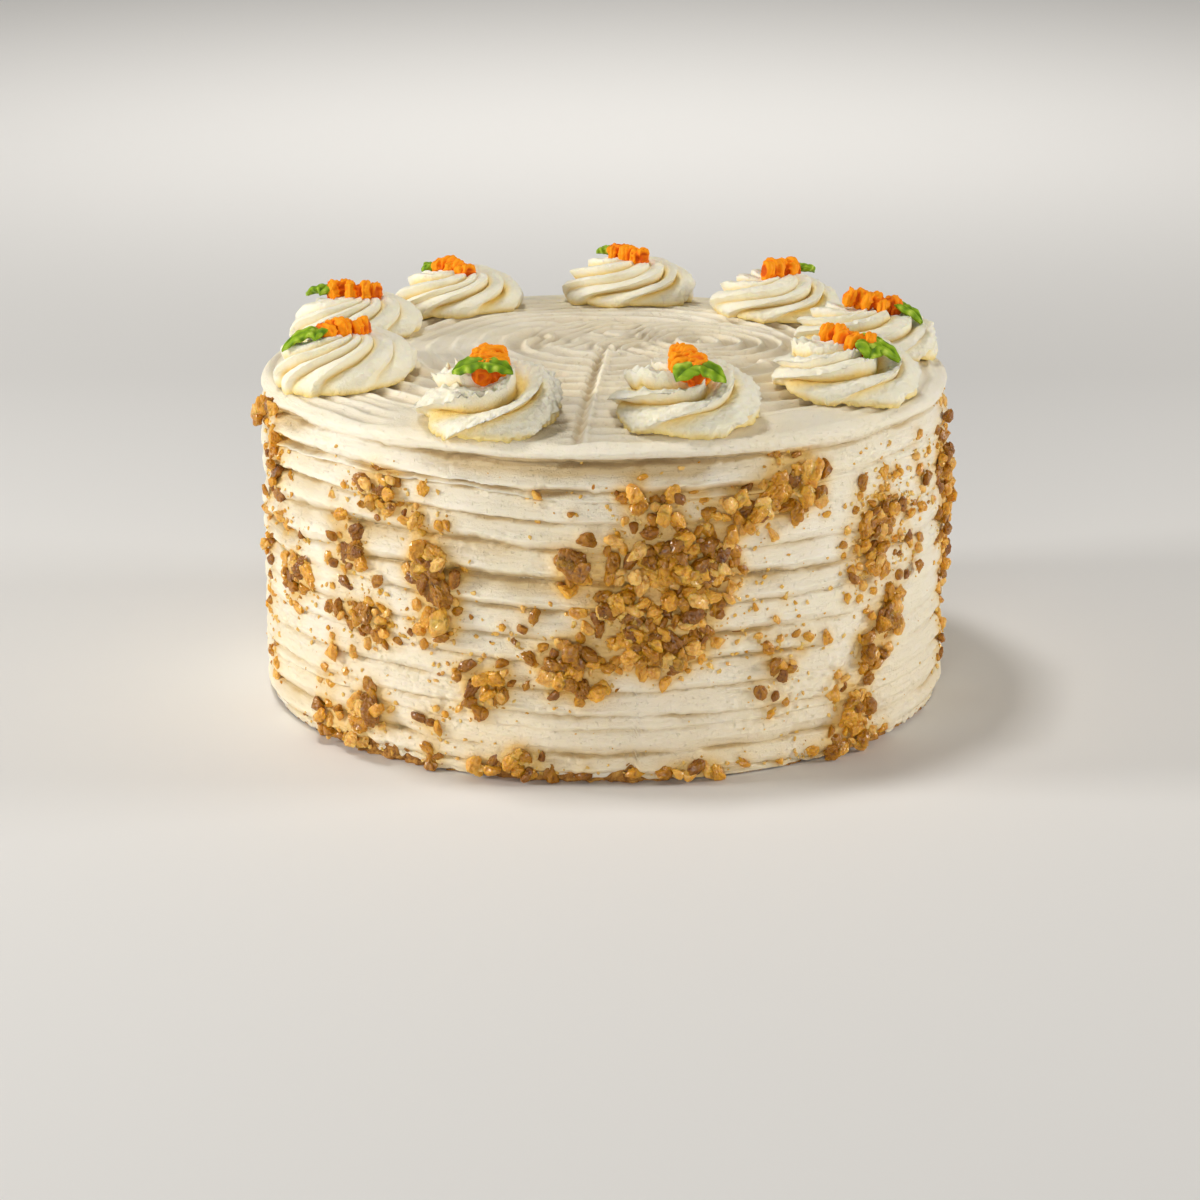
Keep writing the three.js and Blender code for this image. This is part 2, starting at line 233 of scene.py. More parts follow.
class Shader:
    """Short way to make a material; each step gives the output that the next one takes."""

    def __init__(self, name):
        self.material = bpy.data.materials.new(name)
        self.material.use_nodes = True
        self.tree = self.material.node_tree
        self.tree.nodes.clear()
        self.surface = self.add("ShaderNodeBsdfPrincipled")
        output = self.add("ShaderNodeOutputMaterial")
        self.feed(output, Surface=self.surface.outputs["BSDF"])
        self.place = self.add("ShaderNodeTexCoord").outputs["Object"]

    def add(self, kind, **settings):
        node = self.tree.nodes.new(kind)
        for key, value in settings.items():
            setattr(node, key, value)
        return node

    def feed(self, node, **values):
        """Links or sets inputs, with underscores for spaces."""
        for key, value in values.items():
            self.feed_socket(node.inputs[key.replace("_", " ")], value)

    def feed_socket(self, target, value):
        if isinstance(value, bpy.types.NodeSocket):
            self.tree.links.new(value, target)
        else:
            target.default_value = (*value, 1.0) if target.type == "RGBA" else value

    def layer(self, name):
        """Number that the mesh holds at each vertex."""
        return self.add("ShaderNodeAttribute", attribute_name=name).outputs["Fac"]

    def noise(self, scale, detail=3.0, roughness=0.5, stretch=None):
        """Noise in object space; scale is features per metre."""
        place = self.place
        if stretch:
            mapping = self.add("ShaderNodeMapping")
            self.feed(mapping, Scale=stretch, Vector=place)
            place = mapping.outputs["Vector"]
        node = self.add("ShaderNodeTexNoise")
        self.feed(node, Scale=scale, Detail=detail, Roughness=roughness, Vector=place)
        return node.outputs["Fac"]

    def ramp(self, source, *stops):
        """Colour ramp of (place, colour) stops."""
        node = self.add("ShaderNodeValToRGB")
        band = node.color_ramp
        while len(band.elements) < len(stops):
            band.elements.new(0.5)
        for element, (place, colour) in zip(band.elements, stops):
            element.position = place
            element.color = (*colour, 1.0)
        self.feed(node, Fac=source)
        return node.outputs["Color"]

    def mix(self, factor, first, second, kind="MIX"):
        """Mixes two colours."""
        node = self.add("ShaderNodeMix", data_type="RGBA", blend_type=kind)
        for index, value in ((0, factor), (6, first), (7, second)):
            self.feed_socket(node.inputs[index], value)
        return node.outputs[2]

    def bumps(self, *layers):
        """Bumps of (height, distance in metres, strength), one over the other."""
        for height, distance, strength in layers:
            node = self.add("ShaderNodeBump")
            self.feed(node, Height=height, Distance=distance, Strength=strength)
            if self.surface.inputs["Normal"].links:
                self.feed(node, Normal=self.surface.inputs["Normal"].links[0].from_socket)
            self.feed(self.surface, Normal=node.outputs["Normal"])

    def finish(self, **values):
        """Sets the surface and gives the material."""
        self.feed(self.surface, **values)
        return self.material


def cream_material():
    """Ivory cream: mottled, with painted warm shade in the comb hollows, a golden tint round the nuts that is
    partly an oil stain and partly painted shade, dragged and pitted.
    """
    s = Shader("cream_frosting")
    tint = s.ramp(s.noise(35, 4), (0.3, CREAM_LOW), (0.7, CREAM_HIGH))
    # Painted shade: the hollow layer mixes in a darker warm colour in the comb tracks and ring valleys
    hollow_shaded = s.mix(s.layer("hollow"), tint, CREAM_PAINTED_SHADE)
    drag = s.noise(420, 4, 0.6, stretch=(0.3, 0.3, 1.8))
    pits = s.ramp(s.noise(900, 2), (0.30, BLACK), (0.37, WHITE))
    s.bumps((drag, 0.0006, 0.8), (pits, 0.0003, 0.8), (s.noise(1700, 4, 0.65), 0.0003, 1.0))
    return s.finish(Base_Color=s.mix(s.layer("stain"), hollow_shaded, CREAM_STAIN_AND_SHADE), Roughness=0.42, IOR=1.45,
                    Specular_IOR_Level=0.4, Subsurface_Weight=0.18, Subsurface_Scale=0.0022,
                    Subsurface_Radius=CREAM_GLOW)


def whipped_material():
    """Piped cream: lighter, with painted yellow glow and shade in its valleys and along its foot, with a fine
    broken grain.
    """
    s = Shader("piped_cream")
    tint = s.ramp(s.noise(120), (0.3, PIPED_LOW), (0.7, PIPED_HIGH))
    s.bumps((s.noise(520, 3, 0.6), 0.0007, 0.8), (s.noise(1500, 4, 0.7), 0.0004, 1.0))
    return s.finish(Base_Color=s.mix(s.layer("hollow"), tint, PIPED_PAINTED_GLOW_SHADE), Roughness=0.5, IOR=1.45,
                    Specular_IOR_Level=0.3, Subsurface_Weight=0.3, Subsurface_Scale=0.0025,
                    Subsurface_Radius=CREAM_GLOW)


def walnut_material():
    """Chopped walnut, each piece between dark skin and pale kernel."""
    s = Shader("chopped_walnut")
    kernel = s.ramp(s.layer("tone"), (0.0, (0.15, 0.044, 0.001)), (0.25, (0.34, 0.132, 0.001)),
                    (0.5, (0.57, 0.258, 0.004)), (0.75, (0.86, 0.43, 0.035)), (1.0, (0.98, 0.61, 0.18)))
    blotch = s.noise(520, 5, 0.6)
    shade = s.ramp(blotch, (0.36, (0.52, 0.36, 0.16)), (0.60, WHITE))
    s.bumps((blotch, 0.0009, 0.8), (s.noise(1100, 4, 0.7), 0.0003, 0.8))
    return s.finish(Base_Color=s.mix(0.6, kernel, shade, "MULTIPLY"), Roughness=0.3, Specular_IOR_Level=0.4,
                    Coat_Weight=0.3, Coat_Roughness=0.13, Subsurface_Weight=0.4, Subsurface_Scale=0.0025,
                    Subsurface_Radius=NUT_GLOW)


def carrot_material():
    """Orange piped icing, with painted shade in its folds and painted highlight on its ridges and lobe tips.
    """
    s = Shader("orange_icing")
    tint = s.ramp(s.layer("tone"), (0.0, (0.62, 0.09, 0.001)), (0.5, (0.94, 0.22, 0.002)),
                  (1.0, (1.0, 0.34, 0.008)))
    s.bumps((s.noise(1600, 4, 0.7), 0.0002, 0.8))
    return s.finish(Base_Color=tint, Roughness=0.5, Specular_IOR_Level=0.12)


def leaf_material():
    """Green piped icing, with painted shade and highlight from its tone layer."""
    s = Shader("green_icing")
    tint = s.ramp(s.layer("tone"), (0.0, (0.09, 0.19, 0.004)), (0.5, (0.25, 0.41, 0.014)),
                  (1.0, (0.52, 0.66, 0.09)))
    s.bumps((s.noise(1500, 4, 0.7), 0.00018, 0.8))
    return s.finish(Base_Color=tint, Roughness=0.5, Specular_IOR_Level=0.15)


def crumb_material():
    """Brown cake crumb with open pores."""
    s = Shader("sponge_crumb")
    spots = s.noise(420, 5, 0.7)
    tint = s.ramp(spots, (0.35, (0.16, 0.055, 0.008)), (0.5, (0.44, 0.19, 0.03)), (0.68, (0.74, 0.41, 0.09)))
    s.bumps((spots, 0.0015, 0.9))
    return s.finish(Base_Color=tint, Roughness=0.85)


CREAM = cream_material()
WHIPPED = whipped_material()
WALNUT = walnut_material()
ORANGE = carrot_material()
GREEN = leaf_material()
CRUMB = crumb_material()


# Frosting

def dome_height(radius):
    """Height of the top at a distance from the middle."""
    return RIM_HEIGHT + DOME_RISE * (1 - (radius / DOME_RADIUS) ** 2)


def hem_height(azimuth):
    """Height of the frosting's ragged lower edge."""
    wave = np.sin(3 * azimuth + 1.1) + np.sin(7 * azimuth + 0.4) + np.sin(13 * azimuth)
    lift = HEM_LIFT * smoothstep(0, 2, wave)
    rough = noise_round(azimuth, 40, 0, seed=3)
    for place, width, extra in HEM_PATCHES:
        patch = gauss(wrapped(azimuth - math.radians(place)), math.radians(width))
        lift = lift + extra * patch * (0.8 + 0.5 * rough)
    return np.maximum(HEM_LOW, HEM_LOW + lift + 0.5 * rough)


# Comb marks up the side, as seen at the front: height of the crest and of the crease under it
SIDE_MARKS = (
    (4.8, 2.2), (13.2, 8.9), (18.3, 17.2), (22.6, 20.8), (30.6, 28.2), (38.8, 36.4), (47.2, 44.4),
    (55.6, 52.8), (64.0, 60.6), (74.0, 70.6), (80.6, 79.0), (87.0, 86.1), (91.0, 88.3), (100.3, 96.3),
    (112.0, 108.0),
)
LOWEST_CREST = -4.0
MARK_DEPTH_LEAST = 1.0
MARK_DEPTH_SHARE = 0.50
BAND_SHARE = 0.5
CREASE_SHARE = 0.45
CREASE_WIDTH = 0.5
COMB_LIFTS = (-119.0, -62.0, 12.0, 88.0, 151.0)
# Rough patches where the cream tore: azimuth, height, half extents along and up
LUMPY_PATCHES = (
    (-62, 18, 15, 5), (-50, 30, 10, 12), (-154, 78, 8, 13), (-100, 8, 14, 3), (25, 60, 14, 10),
    (118, 30, 16, 8),
)
LUMP_HEIGHT = 0.9
TEAR_DEPTH = 0.55
# Noise on the side: height, size across, size up, seed
SIDE_NOISE = ((0.30, 20, 8, 21), (0.16, 18, 1.3, 22), (0.09, 5, 0.8, 23))


def mark_shift(index, azimuth):
    """How far a comb mark strays: slow waves, and steps where the comb was set down again."""
    shift = 1.1 * noise_round(azimuth, 1.6, 4.2, seed=11)
    for tall, turns, spread, seed in ((0.6, 2.4, 7.3, 11), (0.30, 8, 3.1, 12), (0.20, 42, 5.7, 13)):
        shift += tall * noise_round(azimuth, turns, index * spread, seed)
    for number, lift in enumerate(COMB_LIFTS):
        away = wrapped(azimuth - math.radians(lift)) - 0.07 * fixed_draw(index, number, 5, 9)
        shift += 0.9 * fixed_draw(index, number, 8, 9) * between(away, -0.006, 0.006, 0.1, 0.5)
    return shift


def side_strength(azimuth, height):
    """Strength of the comb's tracks: more above, less in patches and where the comb slipped."""
    slipped = between(np.degrees(azimuth), -62, -48, -25, -10)
    strength = (0.62 + 0.48 * smoothstep(45, 66, height)) * (1 - 0.5 * slipped)
    return strength * np.clip(1 + 0.5 * noise_round(azimuth, 3, height / 14, seed=15), 0.25, 1.4)


def side_tracks(azimuth, height):
    """Depth of the comb's tracks: sharp crests, each undercut by a crease, over hollow bands."""
    depth = np.zeros(np.broadcast(azimuth, height).shape)
    crest = LOWEST_CREST + mark_shift(0, azimuth)
    for index, (high_crest, high_crease) in enumerate(SIDE_MARKS, 1):
        shift = mark_shift(index, azimuth)
        depth_here = MARK_DEPTH_LEAST + MARK_DEPTH_SHARE * (high_crest - high_crease)
        depth_here = depth_here * (1 + 0.35 * noise_round(azimuth, 9, index * 2.3, seed=14))
        above = np.maximum(high_crease + shift, crest + 0.8)
        over = np.maximum(high_crest + shift, above + 0.5)
        band = np.clip((above - height) / (above - crest), 0, 1)
        under = np.clip((height - above) / (over - above), 0, 1)
        hollow = BAND_SHARE * depth_here * (1 - band ** 1.8)
        depth = np.where((height >= crest) & (height < above), hollow, depth)
        depth = np.where((height >= above) & (height < over), depth_here * (1 - under) ** 1.2, depth)
        broken = np.clip(0.7 + 0.9 * noise_round(azimuth, 13, index * 4.9, seed=16), 0, 1.3)
        depth = depth + CREASE_SHARE * depth_here * broken * gauss(height - above, CREASE_WIDTH)
        crest = over
    return depth * side_strength(azimuth, height)


def side_relief(azimuth, height):
    """Relief of the side, negative inwards: tracks, drag marks and torn patches."""
    x, y = CAKE_RADIUS * np.cos(azimuth), CAKE_RADIUS * np.sin(azimuth)
    relief = layered(x, y, height, SIDE_NOISE) - side_tracks(azimuth, height)
    torn = smoothstep(0.25, 0.70, noise(x / 16, y / 16, height / 8, seed=24))
    relief -= TEAR_DEPTH * torn * np.abs(noise(x / 1.9, y / 1.9, height / 1.2, seed=25))
    lumps = np.clip(0.1 + noise(x / 1.7, y / 1.7, height / 1.5, seed=26), 0, 1)
    for place, level, along, up in LUMPY_PATCHES:
        away = wrapped(azimuth - math.radians(place)) * CAKE_RADIUS
        relief += LUMP_HEIGHT * lumps * gauss(away, along) * gauss(height - level, up)
    return relief


# Comb rings on the top: ridges round the middle, and arcs of a second sweep right of it
RING_PITCH = 7.4
RING_HEIGHT = 1.7
RING_WIDTH = 1.3
RING_STEP = 3.0
RING_LIFTS = (-94.5, -20.0, 66.0, 140.0)
RIM_MARK_PITCH = 5.0
RIM_MARK_DEPTH = 0.9
FAN_MIDDLE = (30.0, 6.0)
FAN_PITCH = 6.4
FEATHER_PITCH = 4.6
FEATHER_WIDTH = 1.1
TOP_WARP = ((2.4, 30, 1, 31), (0.5, 7, 1, 32))
TOP_NOISE = ((0.30, 15, 1, 33), (0.08, 3, 1, 34))
# Mark that the comb's end left from the middle to the front: its azimuth, groove and lip
MARK_AZIMUTH = 265.5
MARK_GROOVE = 1.8
MARK_LIP = 0.9


def ridges(distance, pitch, width):
    """Narrow ridges, one every pitch, 1 high."""
    away = (distance / pitch - 0.5) % 1.0 - 0.5
    return gauss(away * pitch, width)


def top_relief(x, y):
    """Relief of the combed top below its dome, negative downwards."""
    radius, azimuth = np.hypot(x, y), np.arctan2(y, x)
    warp = layered(x, y, 0, TOP_WARP)
    for number, lift in enumerate(RING_LIFTS):
        away = wrapped(azimuth - math.radians(lift))
        warp = warp + RING_STEP * fixed_draw(number, 4, 6, 2) * between(away, -0.02, 0.02, 0.2, 1.3)
    rings = ridges(radius + warp, RING_PITCH, RING_WIDTH)
    fan = np.hypot(x - FAN_MIDDLE[0], (y - FAN_MIDDLE[1]) * 1.1)
    arcs = ridges(fan + 0.5 * warp, FAN_PITCH, RING_WIDTH)
    slant = 0.8 * x - 0.5 * y + 3.0 * noise(x / 9, y / 9, 3, seed=35)
    feathers = ridges(slant, FEATHER_PITCH, FEATHER_WIDTH)
    in_fan = smoothstep(36, 30, fan) * smoothstep(-26, -14, y)
    in_middle = smoothstep(24, 16, np.hypot(x + 2, (y - 14) * 0.8))
    sharp = rings * (1 - in_fan) + arcs * in_fan
    sharp = sharp * (1 - in_middle) + 0.7 * feathers * in_middle
    smear = smoothstep(32, 18, np.hypot(x + 50, (y - 8) * 0.8))
    combed = smoothstep(93, 84, radius) * (1 - 0.7 * smear) * (1 + 0.3 * noise(x / 8, y / 8, 2, seed=36))
    depth = RING_HEIGHT * (sharp - 1) * combed
    uneven = smoothstep(-0.5, 0.4, noise(x / 26, y / 26, 5, seed=37)) * smoothstep(86, 91, radius)
    depth += RIM_MARK_DEPTH * (ridges(radius + 0.6 * warp, RIM_MARK_PITCH, RING_WIDTH) - 1) * uneven
    depth += layered(x, y, 0, TOP_NOISE)
    along, across = rotated(x, y, -math.radians(MARK_AZIMUTH))
    on_mark = between(along, 12, 15, 98, 104)
    return depth + on_mark * (MARK_LIP * gauss(across - 2.4, 0.9) - MARK_GROOVE * gauss(across, 1.3))


COLUMNS = 900
TOP_ROWS = 240
FINE_ROWS = 24
FINE_FROM = 20.0
INNER_RADIUS = 0.4
RIM_ROWS = 16
SIDE_ROWS = 300
# Strengths of the painted shade in the side's comb tracks and in the top's ring valleys
SIDE_SHADE_PAINT = 0.19
TOP_SHADE_PAINT = 0.2
BASE_RADII = (20.0, 80.0, 103.5)
CRUMB_NOISE = ((0.7, 2.2, 1.4, 41), (0.35, 0.9, 0.8, 42))
# Golden tint that grows towards the bottom of the side
LOW_GOLDEN_TINT = 0.15


def around():
    """Azimuths of a grid's columns."""
    return np.linspace(-math.pi, math.pi, COLUMNS, endpoint=False)[None, :]


def turned(radius, azimuth, height):
    """Points from a radius, an azimuth and a height."""
    radius, azimuth, height = np.broadcast_arrays(radius, azimuth, height)
    return np.stack([radius * np.cos(azimuth), radius * np.sin(azimuth), height], -1)


def closed_grid(name, points, **layers):
    """Closed solid from a round grid of points, its end rows fanned to their middles."""
    ends = [points[0].mean(0), points[-1].mean(0)]
    layers = {key: np.concatenate([np.ravel(value), [0, 0]]) for key, value in layers.items()}
    vertices = np.vstack([points.reshape(-1, 3), ends])
    return new_mesh(name, vertices, *closed_faces(*points.shape[:2]), **layers)


def stains(azimuth, height, nuts):
    """Golden stain round the nuts, partly their oil and partly painted shade between them, and a raised lip
    of cream round them.
    """
    stain = np.zeros(height.shape)
    lip = np.zeros(height.shape)
    columns = height.shape[1]
    for place, level, length, *_ in nuts:
        reach = 0.9 * length + 2.0
        first = int((place - reach / CAKE_RADIUS + math.pi) / TURN * columns)
        last = int((place + reach / CAKE_RADIUS + math.pi) / TURN * columns) + 2
        column = np.arange(first, last) % columns
        rows = np.nonzero(np.abs(height[:, column[len(column) // 2]] - level) < reach)[0]
        if not len(rows):
            continue
        window = np.ix_(rows, column)
        across = wrapped(azimuth[:, column] - place) * CAKE_RADIUS
        away = np.hypot(across, height[window] - level)
        # Oil stain and painted shade, strongest close to each nut
        stain[window] += 0.5 * gauss(away, 0.6 * length + 0.4) * min(1.0, length / 3.5)
        raised = 0.11 * length * gauss(away - 0.42 * length, 0.22 * length + 0.2)
        lip[window] = np.maximum(lip[window], raised)
    # The cream is also more golden towards the bottom of the side
    return np.clip(stain + LOW_GOLDEN_TINT * smoothstep(48, 8, height), 0, 0.85), lip


def frosting_inside(azimuth, hem):
    """Rows of points over the sponge, from the middle out and down to the hem."""
    core, foot = CORE_RADIUS + GAP, FOOT_RADIUS + GAP
    over = ((INNER_RADIUS, dome_height(0)), (60, dome_height(60)), (core - 3, RIM_HEIGHT))
    rows = [(r, h - FROSTING_THICKNESS + GAP) for r, h in over]
    rows += [(core, RIM_HEIGHT - FROSTING_THICKNESS - 3), (core, 8.2), (foot, FOOT_HEIGHT + 0.1),
             (foot, hem + 0.1), (foot + 0.4, hem - 0.2)]
    return np.concatenate([turned(r, azimuth, h) for r, h in rows])


def frosting(nuts):
    """Closed skin: inside, round the hem, up the side and over the top."""
    azimuth = around()
    flat_to = CAKE_RADIUS - RIM_ROUNDING
    rim_base = float(dome_height(flat_to)) - RIM_ROUNDING
    hem = hem_height(azimuth)

    share = np.linspace(0, 1, SIDE_ROWS)[:, None]
    height = hem + (rim_base - hem) * share
    stain, lip = stains(azimuth, height, nuts)
    tuck = HEM_TUCK * smoothstep(3.2, 0.2, height - hem) ** 2
    side = CAKE_RADIUS + side_relief(azimuth, height) + lip - tuck
    # Painted shade: deeper comb tracks get a darker cream colour
    hollow = SIDE_SHADE_PAINT * side_tracks(azimuth, height) ** 2

    turn = np.linspace(math.pi / 2, 0, RIM_ROWS + 2)[1:-1, None]
    rim_height = rim_base + RIM_ROUNDING * np.cos(turn)
    rim_radius = flat_to + RIM_ROUNDING * np.sin(turn)
    across = turn / (math.pi / 2)
    over = top_relief(*turned(rim_radius, azimuth, rim_height)[..., :2].transpose(2, 0, 1))
    push = over * (1 - across) ** 2 + side_relief(azimuth, rim_height) * across

    radius = np.concatenate([np.linspace(flat_to, FINE_FROM, TOP_ROWS - FINE_ROWS),
                             np.linspace(FINE_FROM, INNER_RADIUS, FINE_ROWS + 1)[1:]])[:, None]
    flat = turned(radius, azimuth, 0)
    relief = top_relief(flat[..., 0], flat[..., 1])
    top = dome_height(radius) + relief

    inside = frosting_inside(azimuth, hem)
    rounded = turned(rim_radius + push * np.sin(turn), azimuth, rim_height + push * np.cos(turn))
    grid = np.concatenate([inside, turned(side, azimuth, height), rounded, turned(radius, azimuth, top)])
    before = np.zeros((len(inside), COLUMNS))
    rim = np.zeros((RIM_ROWS, COLUMNS))
    # Painted shade also in the top's ring valleys, darker where the relief dips
    hollow = np.concatenate([before, hollow, rim, -TOP_SHADE_PAINT * relief])
    stain = np.concatenate([before, stain, rim, np.zeros((TOP_ROWS, COLUMNS))])
    made = closed_grid("frosting_combed", grid, hollow=np.clip(hollow, 0, 0.8), stain=stain)
    dress(made, CREAM, ["frosting"])


def sponge():
    """Core of the cake, crumbly where its foot shows."""
    azimuth = around()
    shoulder = RIM_HEIGHT - FROSTING_THICKNESS
    foot = np.linspace(0.15, BARE_HEIGHT, 18)
    profile = [(r, 0.0) for r in BASE_RADII] + [(FOOT_RADIUS - 0.2, h) for h in foot]
    profile += [(CORE_RADIUS, 9.0), (CORE_RADIUS, shoulder - 3), (CORE_RADIUS - 3, shoulder),
                (60.0, float(dome_height(60)) - FROSTING_THICKNESS)]
    radius, height = (np.array(column)[:, None] for column in zip(*profile))
    flat = turned(radius, azimuth, height)
    crumb = layered(flat[..., 0], flat[..., 1], height, CRUMB_NOISE)
    crumb += smoothstep(1.5, 3.5, hem_height(azimuth))
    crumb *= (height > 0) & (height <= BARE_HEIGHT)
    dress(closed_grid("sponge_crumb", turned(radius + crumb, azimuth, height)), CRUMB, ["sponge"])


# Rosettes: fins, turn of the swirl in degrees, how late it turns, skew of a fin (0.5 is even), blade (0 is
# round, 1 sharp), raggedness, valley depth
SWIRLS = {
    1: (10, 130, 1.4, 0.24, 0.50, 0.10, 3.6),
    2: (9, 150, 1.2, 0.24, 0.50, 0.10, 3.8),
    3: (7, 200, 1.0, 0.24, 0.55, 0.15, 4.0),
    4: (7, 195, 1.0, 0.24, 0.60, 0.25, 4.0),
    5: (8, 185, 1.1, 0.24, 0.70, 0.40, 4.2),
    6: (6, 215, 0.95, 0.22, 0.80, 0.50, 4.8),
    7: (5, 215, 0.9, 0.18, 0.90, 0.60, 5.6),
    8: (5, 215, 0.85, 0.18, 0.95, 0.85, 5.8),
    9: (10, 130, 1.4, 0.24, 0.50, 0.12, 3.8),
}
# Rosettes whose left end is torn into little peaks, with the peaks' height
TORN = {6: 1.3, 7: 2.2, 8: 2.6}
TORN_PEAKS = 9
TORN_FROM = 148
# Azimuth and distance of a rosette's middle, its radius and height, as in the frame
ROSETTE_PLACES = {
    1: (160, 85, 22, 14.2),
    2: (125.5, 83, 22.4, 14.4),
    3: (84, 81.5, 22.8, 15.4),
    4: (45.5, 81, 22, 14.8),
    5: (7, 84, 22.6, 15),
    6: (329, 85, 22.7, 16),
    7: (286.5, 83.5, 22.4, 17),
    8: (248, 88, 22, 18),
    9: (200, 84.5, 22.8, 15),
}
SWIRL_COLUMNS = 320
SWIRL_ROWS = 100
SWIRL_BULGE = 0.3
SWIRL_FOOT = 0.93
SWIRL_SINK = 0.35


def ring_place(number, slide=0.0):
    """Point in plan at a rosette's middle, or slid outward from it."""
    azimuth, ring = ROSETTE_PLACES[number][:2]
    return rotated(ring + slide, 0.0, math.radians(azimuth))


def swirl_profile(radius, height, rows):
    """Evenly spaced points from the base over a bulging wall to the middle of the top."""
    low = np.linspace(0, 1, 60)
    below = np.stack([radius * (1 - (1 - SWIRL_FOOT) * (1 - low) ** 2), low * SWIRL_BULGE * height], -1)
    across = np.cos(np.linspace(0, math.pi / 2, 400)[1:]) ** 0.62
    rise = SWIRL_BULGE + (1 - SWIRL_BULGE) * np.clip(1 - across ** 2.6, 0, 1) ** 0.5
    above = np.stack([radius * across, height * rise], -1)
    line = np.vstack([below, above])
    reach = np.concatenate([[0], np.cumsum(np.hypot(*np.diff(line, axis=0).T))])
    at = np.linspace(0, reach[-1] * 0.985, rows)
    return np.interp(at, reach, line[:, 0]), np.interp(at, reach, line[:, 1]), at / reach[-1]


def fin_shape(share, skew, blade):
    """Relief over one fin: 1 at its crest, 0 in the sharp valley."""
    x = np.where(share < skew, 1 - share / skew, (share - skew) / (1 - skew))
    rounded = np.sin(np.pi / 2 * x) ** 0.8
    return (1 - blade) * rounded + blade * x ** 1.05


def torn_peaks(x, y, number):
    """Little peaks where the piped cream tore at a rosette's left end."""
    raised = np.zeros(np.broadcast(x, y).shape)
    if number not in TORN:
        return raised
    random = np.random.RandomState(700 + number)
    radius = ROSETTE_PLACES[number][2]
    for i in range(TORN_PEAKS):
        angle = math.radians(TORN_FROM + 9 * i + random.uniform(-4, 4))
        reach = radius * random.uniform(0.50, 0.88)
        away = np.hypot(x - reach * math.cos(angle), (y - reach * math.sin(angle)) * 0.6)
        raised += random.uniform(0.5, 1.0) * TORN[number] * gauss(away, random.uniform(0.8, 1.4))
    return raised


def roughness(x, y, z, edge, number):
    """Ragged edges, grain and slow swell of a rosette's cream."""
    ragged = SWIRLS[number][5]
    jag = ragged * edge * (noise(x, y, z + number * 9, seed=51)
                           + 0.8 * noise(x / 2.6, y / 2.6, z / 2.4 + number * 5, seed=52))
    grain = (0.06 + 0.30 * ragged) * noise(x / 1.1, y / 1.1, z / 0.9 + number * 3, seed=53)
    grain += 0.22 * ragged * np.abs(noise(x / 2.3, y / 2.3, z / 1.5 + number * 3, seed=55))
    return jag + grain + 0.35 * noise(x / 7, y / 7, z / 5 + number * 11, seed=54)


def seated(x, y, z, number):
    """Points of a rosette in their place, its foot bent down to the domed top."""
    cx, cy = ring_place(number)
    seat = dome_height(np.hypot(cx + x, cy + y)) - SWIRL_SINK
    bent = np.clip(z / ROSETTE_PLACES[number][3], 0, 1)
    level = seat + (dome_height(math.hypot(cx, cy)) - seat) * bent
    return np.stack([cx + x, cy + y, level + z], -1)


def rosette(number):
    """Piped swirl of cream whose fins climb anticlockwise."""
    fins, swirl, late, skew, blade, _, valley = SWIRLS[number]
    radius, height = ROSETTE_PLACES[number][2:]
    line_r, line_z, share = (row[:, None] for row in swirl_profile(radius, height, SWIRL_ROWS))
    slope_r, slope_z = np.gradient(line_r[:, 0]), np.gradient(line_z[:, 0])
    length = np.hypot(slope_r, slope_z)
    out_r, out_z = (slope_z / length)[:, None], (-slope_r / length)[:, None]
    column = np.linspace(0, TURN, SWIRL_COLUMNS, endpoint=False)[None, :]
    start = TURN * fixed_draw(number, 1, 2, 7)
    bend = 0.12 * np.sin(2 * column + start) + 0.07 * np.sin(3 * column - start)
    phase = fins * (column + bend) / TURN
    index = np.floor(phase).astype(np.int64) % fins
    relief = fin_shape(phase % 1.0, skew, blade)
    vary = 1 + 0.3 * lattice(index, np.int64(3), np.int64(9), 100 + number)
    smooth_top = 0.5 if number in TORN else 0.8
    shrink = np.clip(line_r / (smooth_top * radius), 0.2, 1) * (0.35 + 0.65 * smoothstep(0.0, 0.2, share))
    inward = valley * shrink * (1 - relief) * vary
    progress = np.clip((line_z + radius - line_r) / (height + radius), 0, 1)
    world = column + math.radians(swirl) * progress ** late
    lobe = 1 + 0.02 * np.sin(2 * world + start) + 0.012 * np.sin(3 * world + 2 * start)
    x, y, z = line_r * np.cos(world), line_r * np.sin(world), line_z
    edge = relief ** 6
    push = roughness(x, y, z, edge, number) - inward
    droop = blade * 1.3 * edge * between(share, 0.05, 0.3, 0.6, 0.95)
    r = np.maximum(line_r * lobe + push * out_r, 0.05)
    z = line_z + push * out_z - droop
    x, y = r * np.cos(world), r * np.sin(world)
    z = z + torn_peaks(x, y, number) * smoothstep(0.25, 0.45, share)
    z = np.maximum(z - carrot_bed(x, y, number) * smoothstep(0.2, 0.4, share), 0.0)
    # Painted glow and shade: yellow in the valleys between fins and along the foot
    hollow = smoothstep(0.40, 1.05, (1 - relief) * vary) * smoothstep(1.0, 0.7, share) * shrink ** 0.5
    hollow = np.maximum(hollow, smoothstep(0.10, 0.0, share))
    made = closed_grid(f"rosette_piped_{number}", seated(x, y, z, number), hollow=hollow)
    dress(made, WHIPPED, [f"rosette_{number}"])


# Carrots

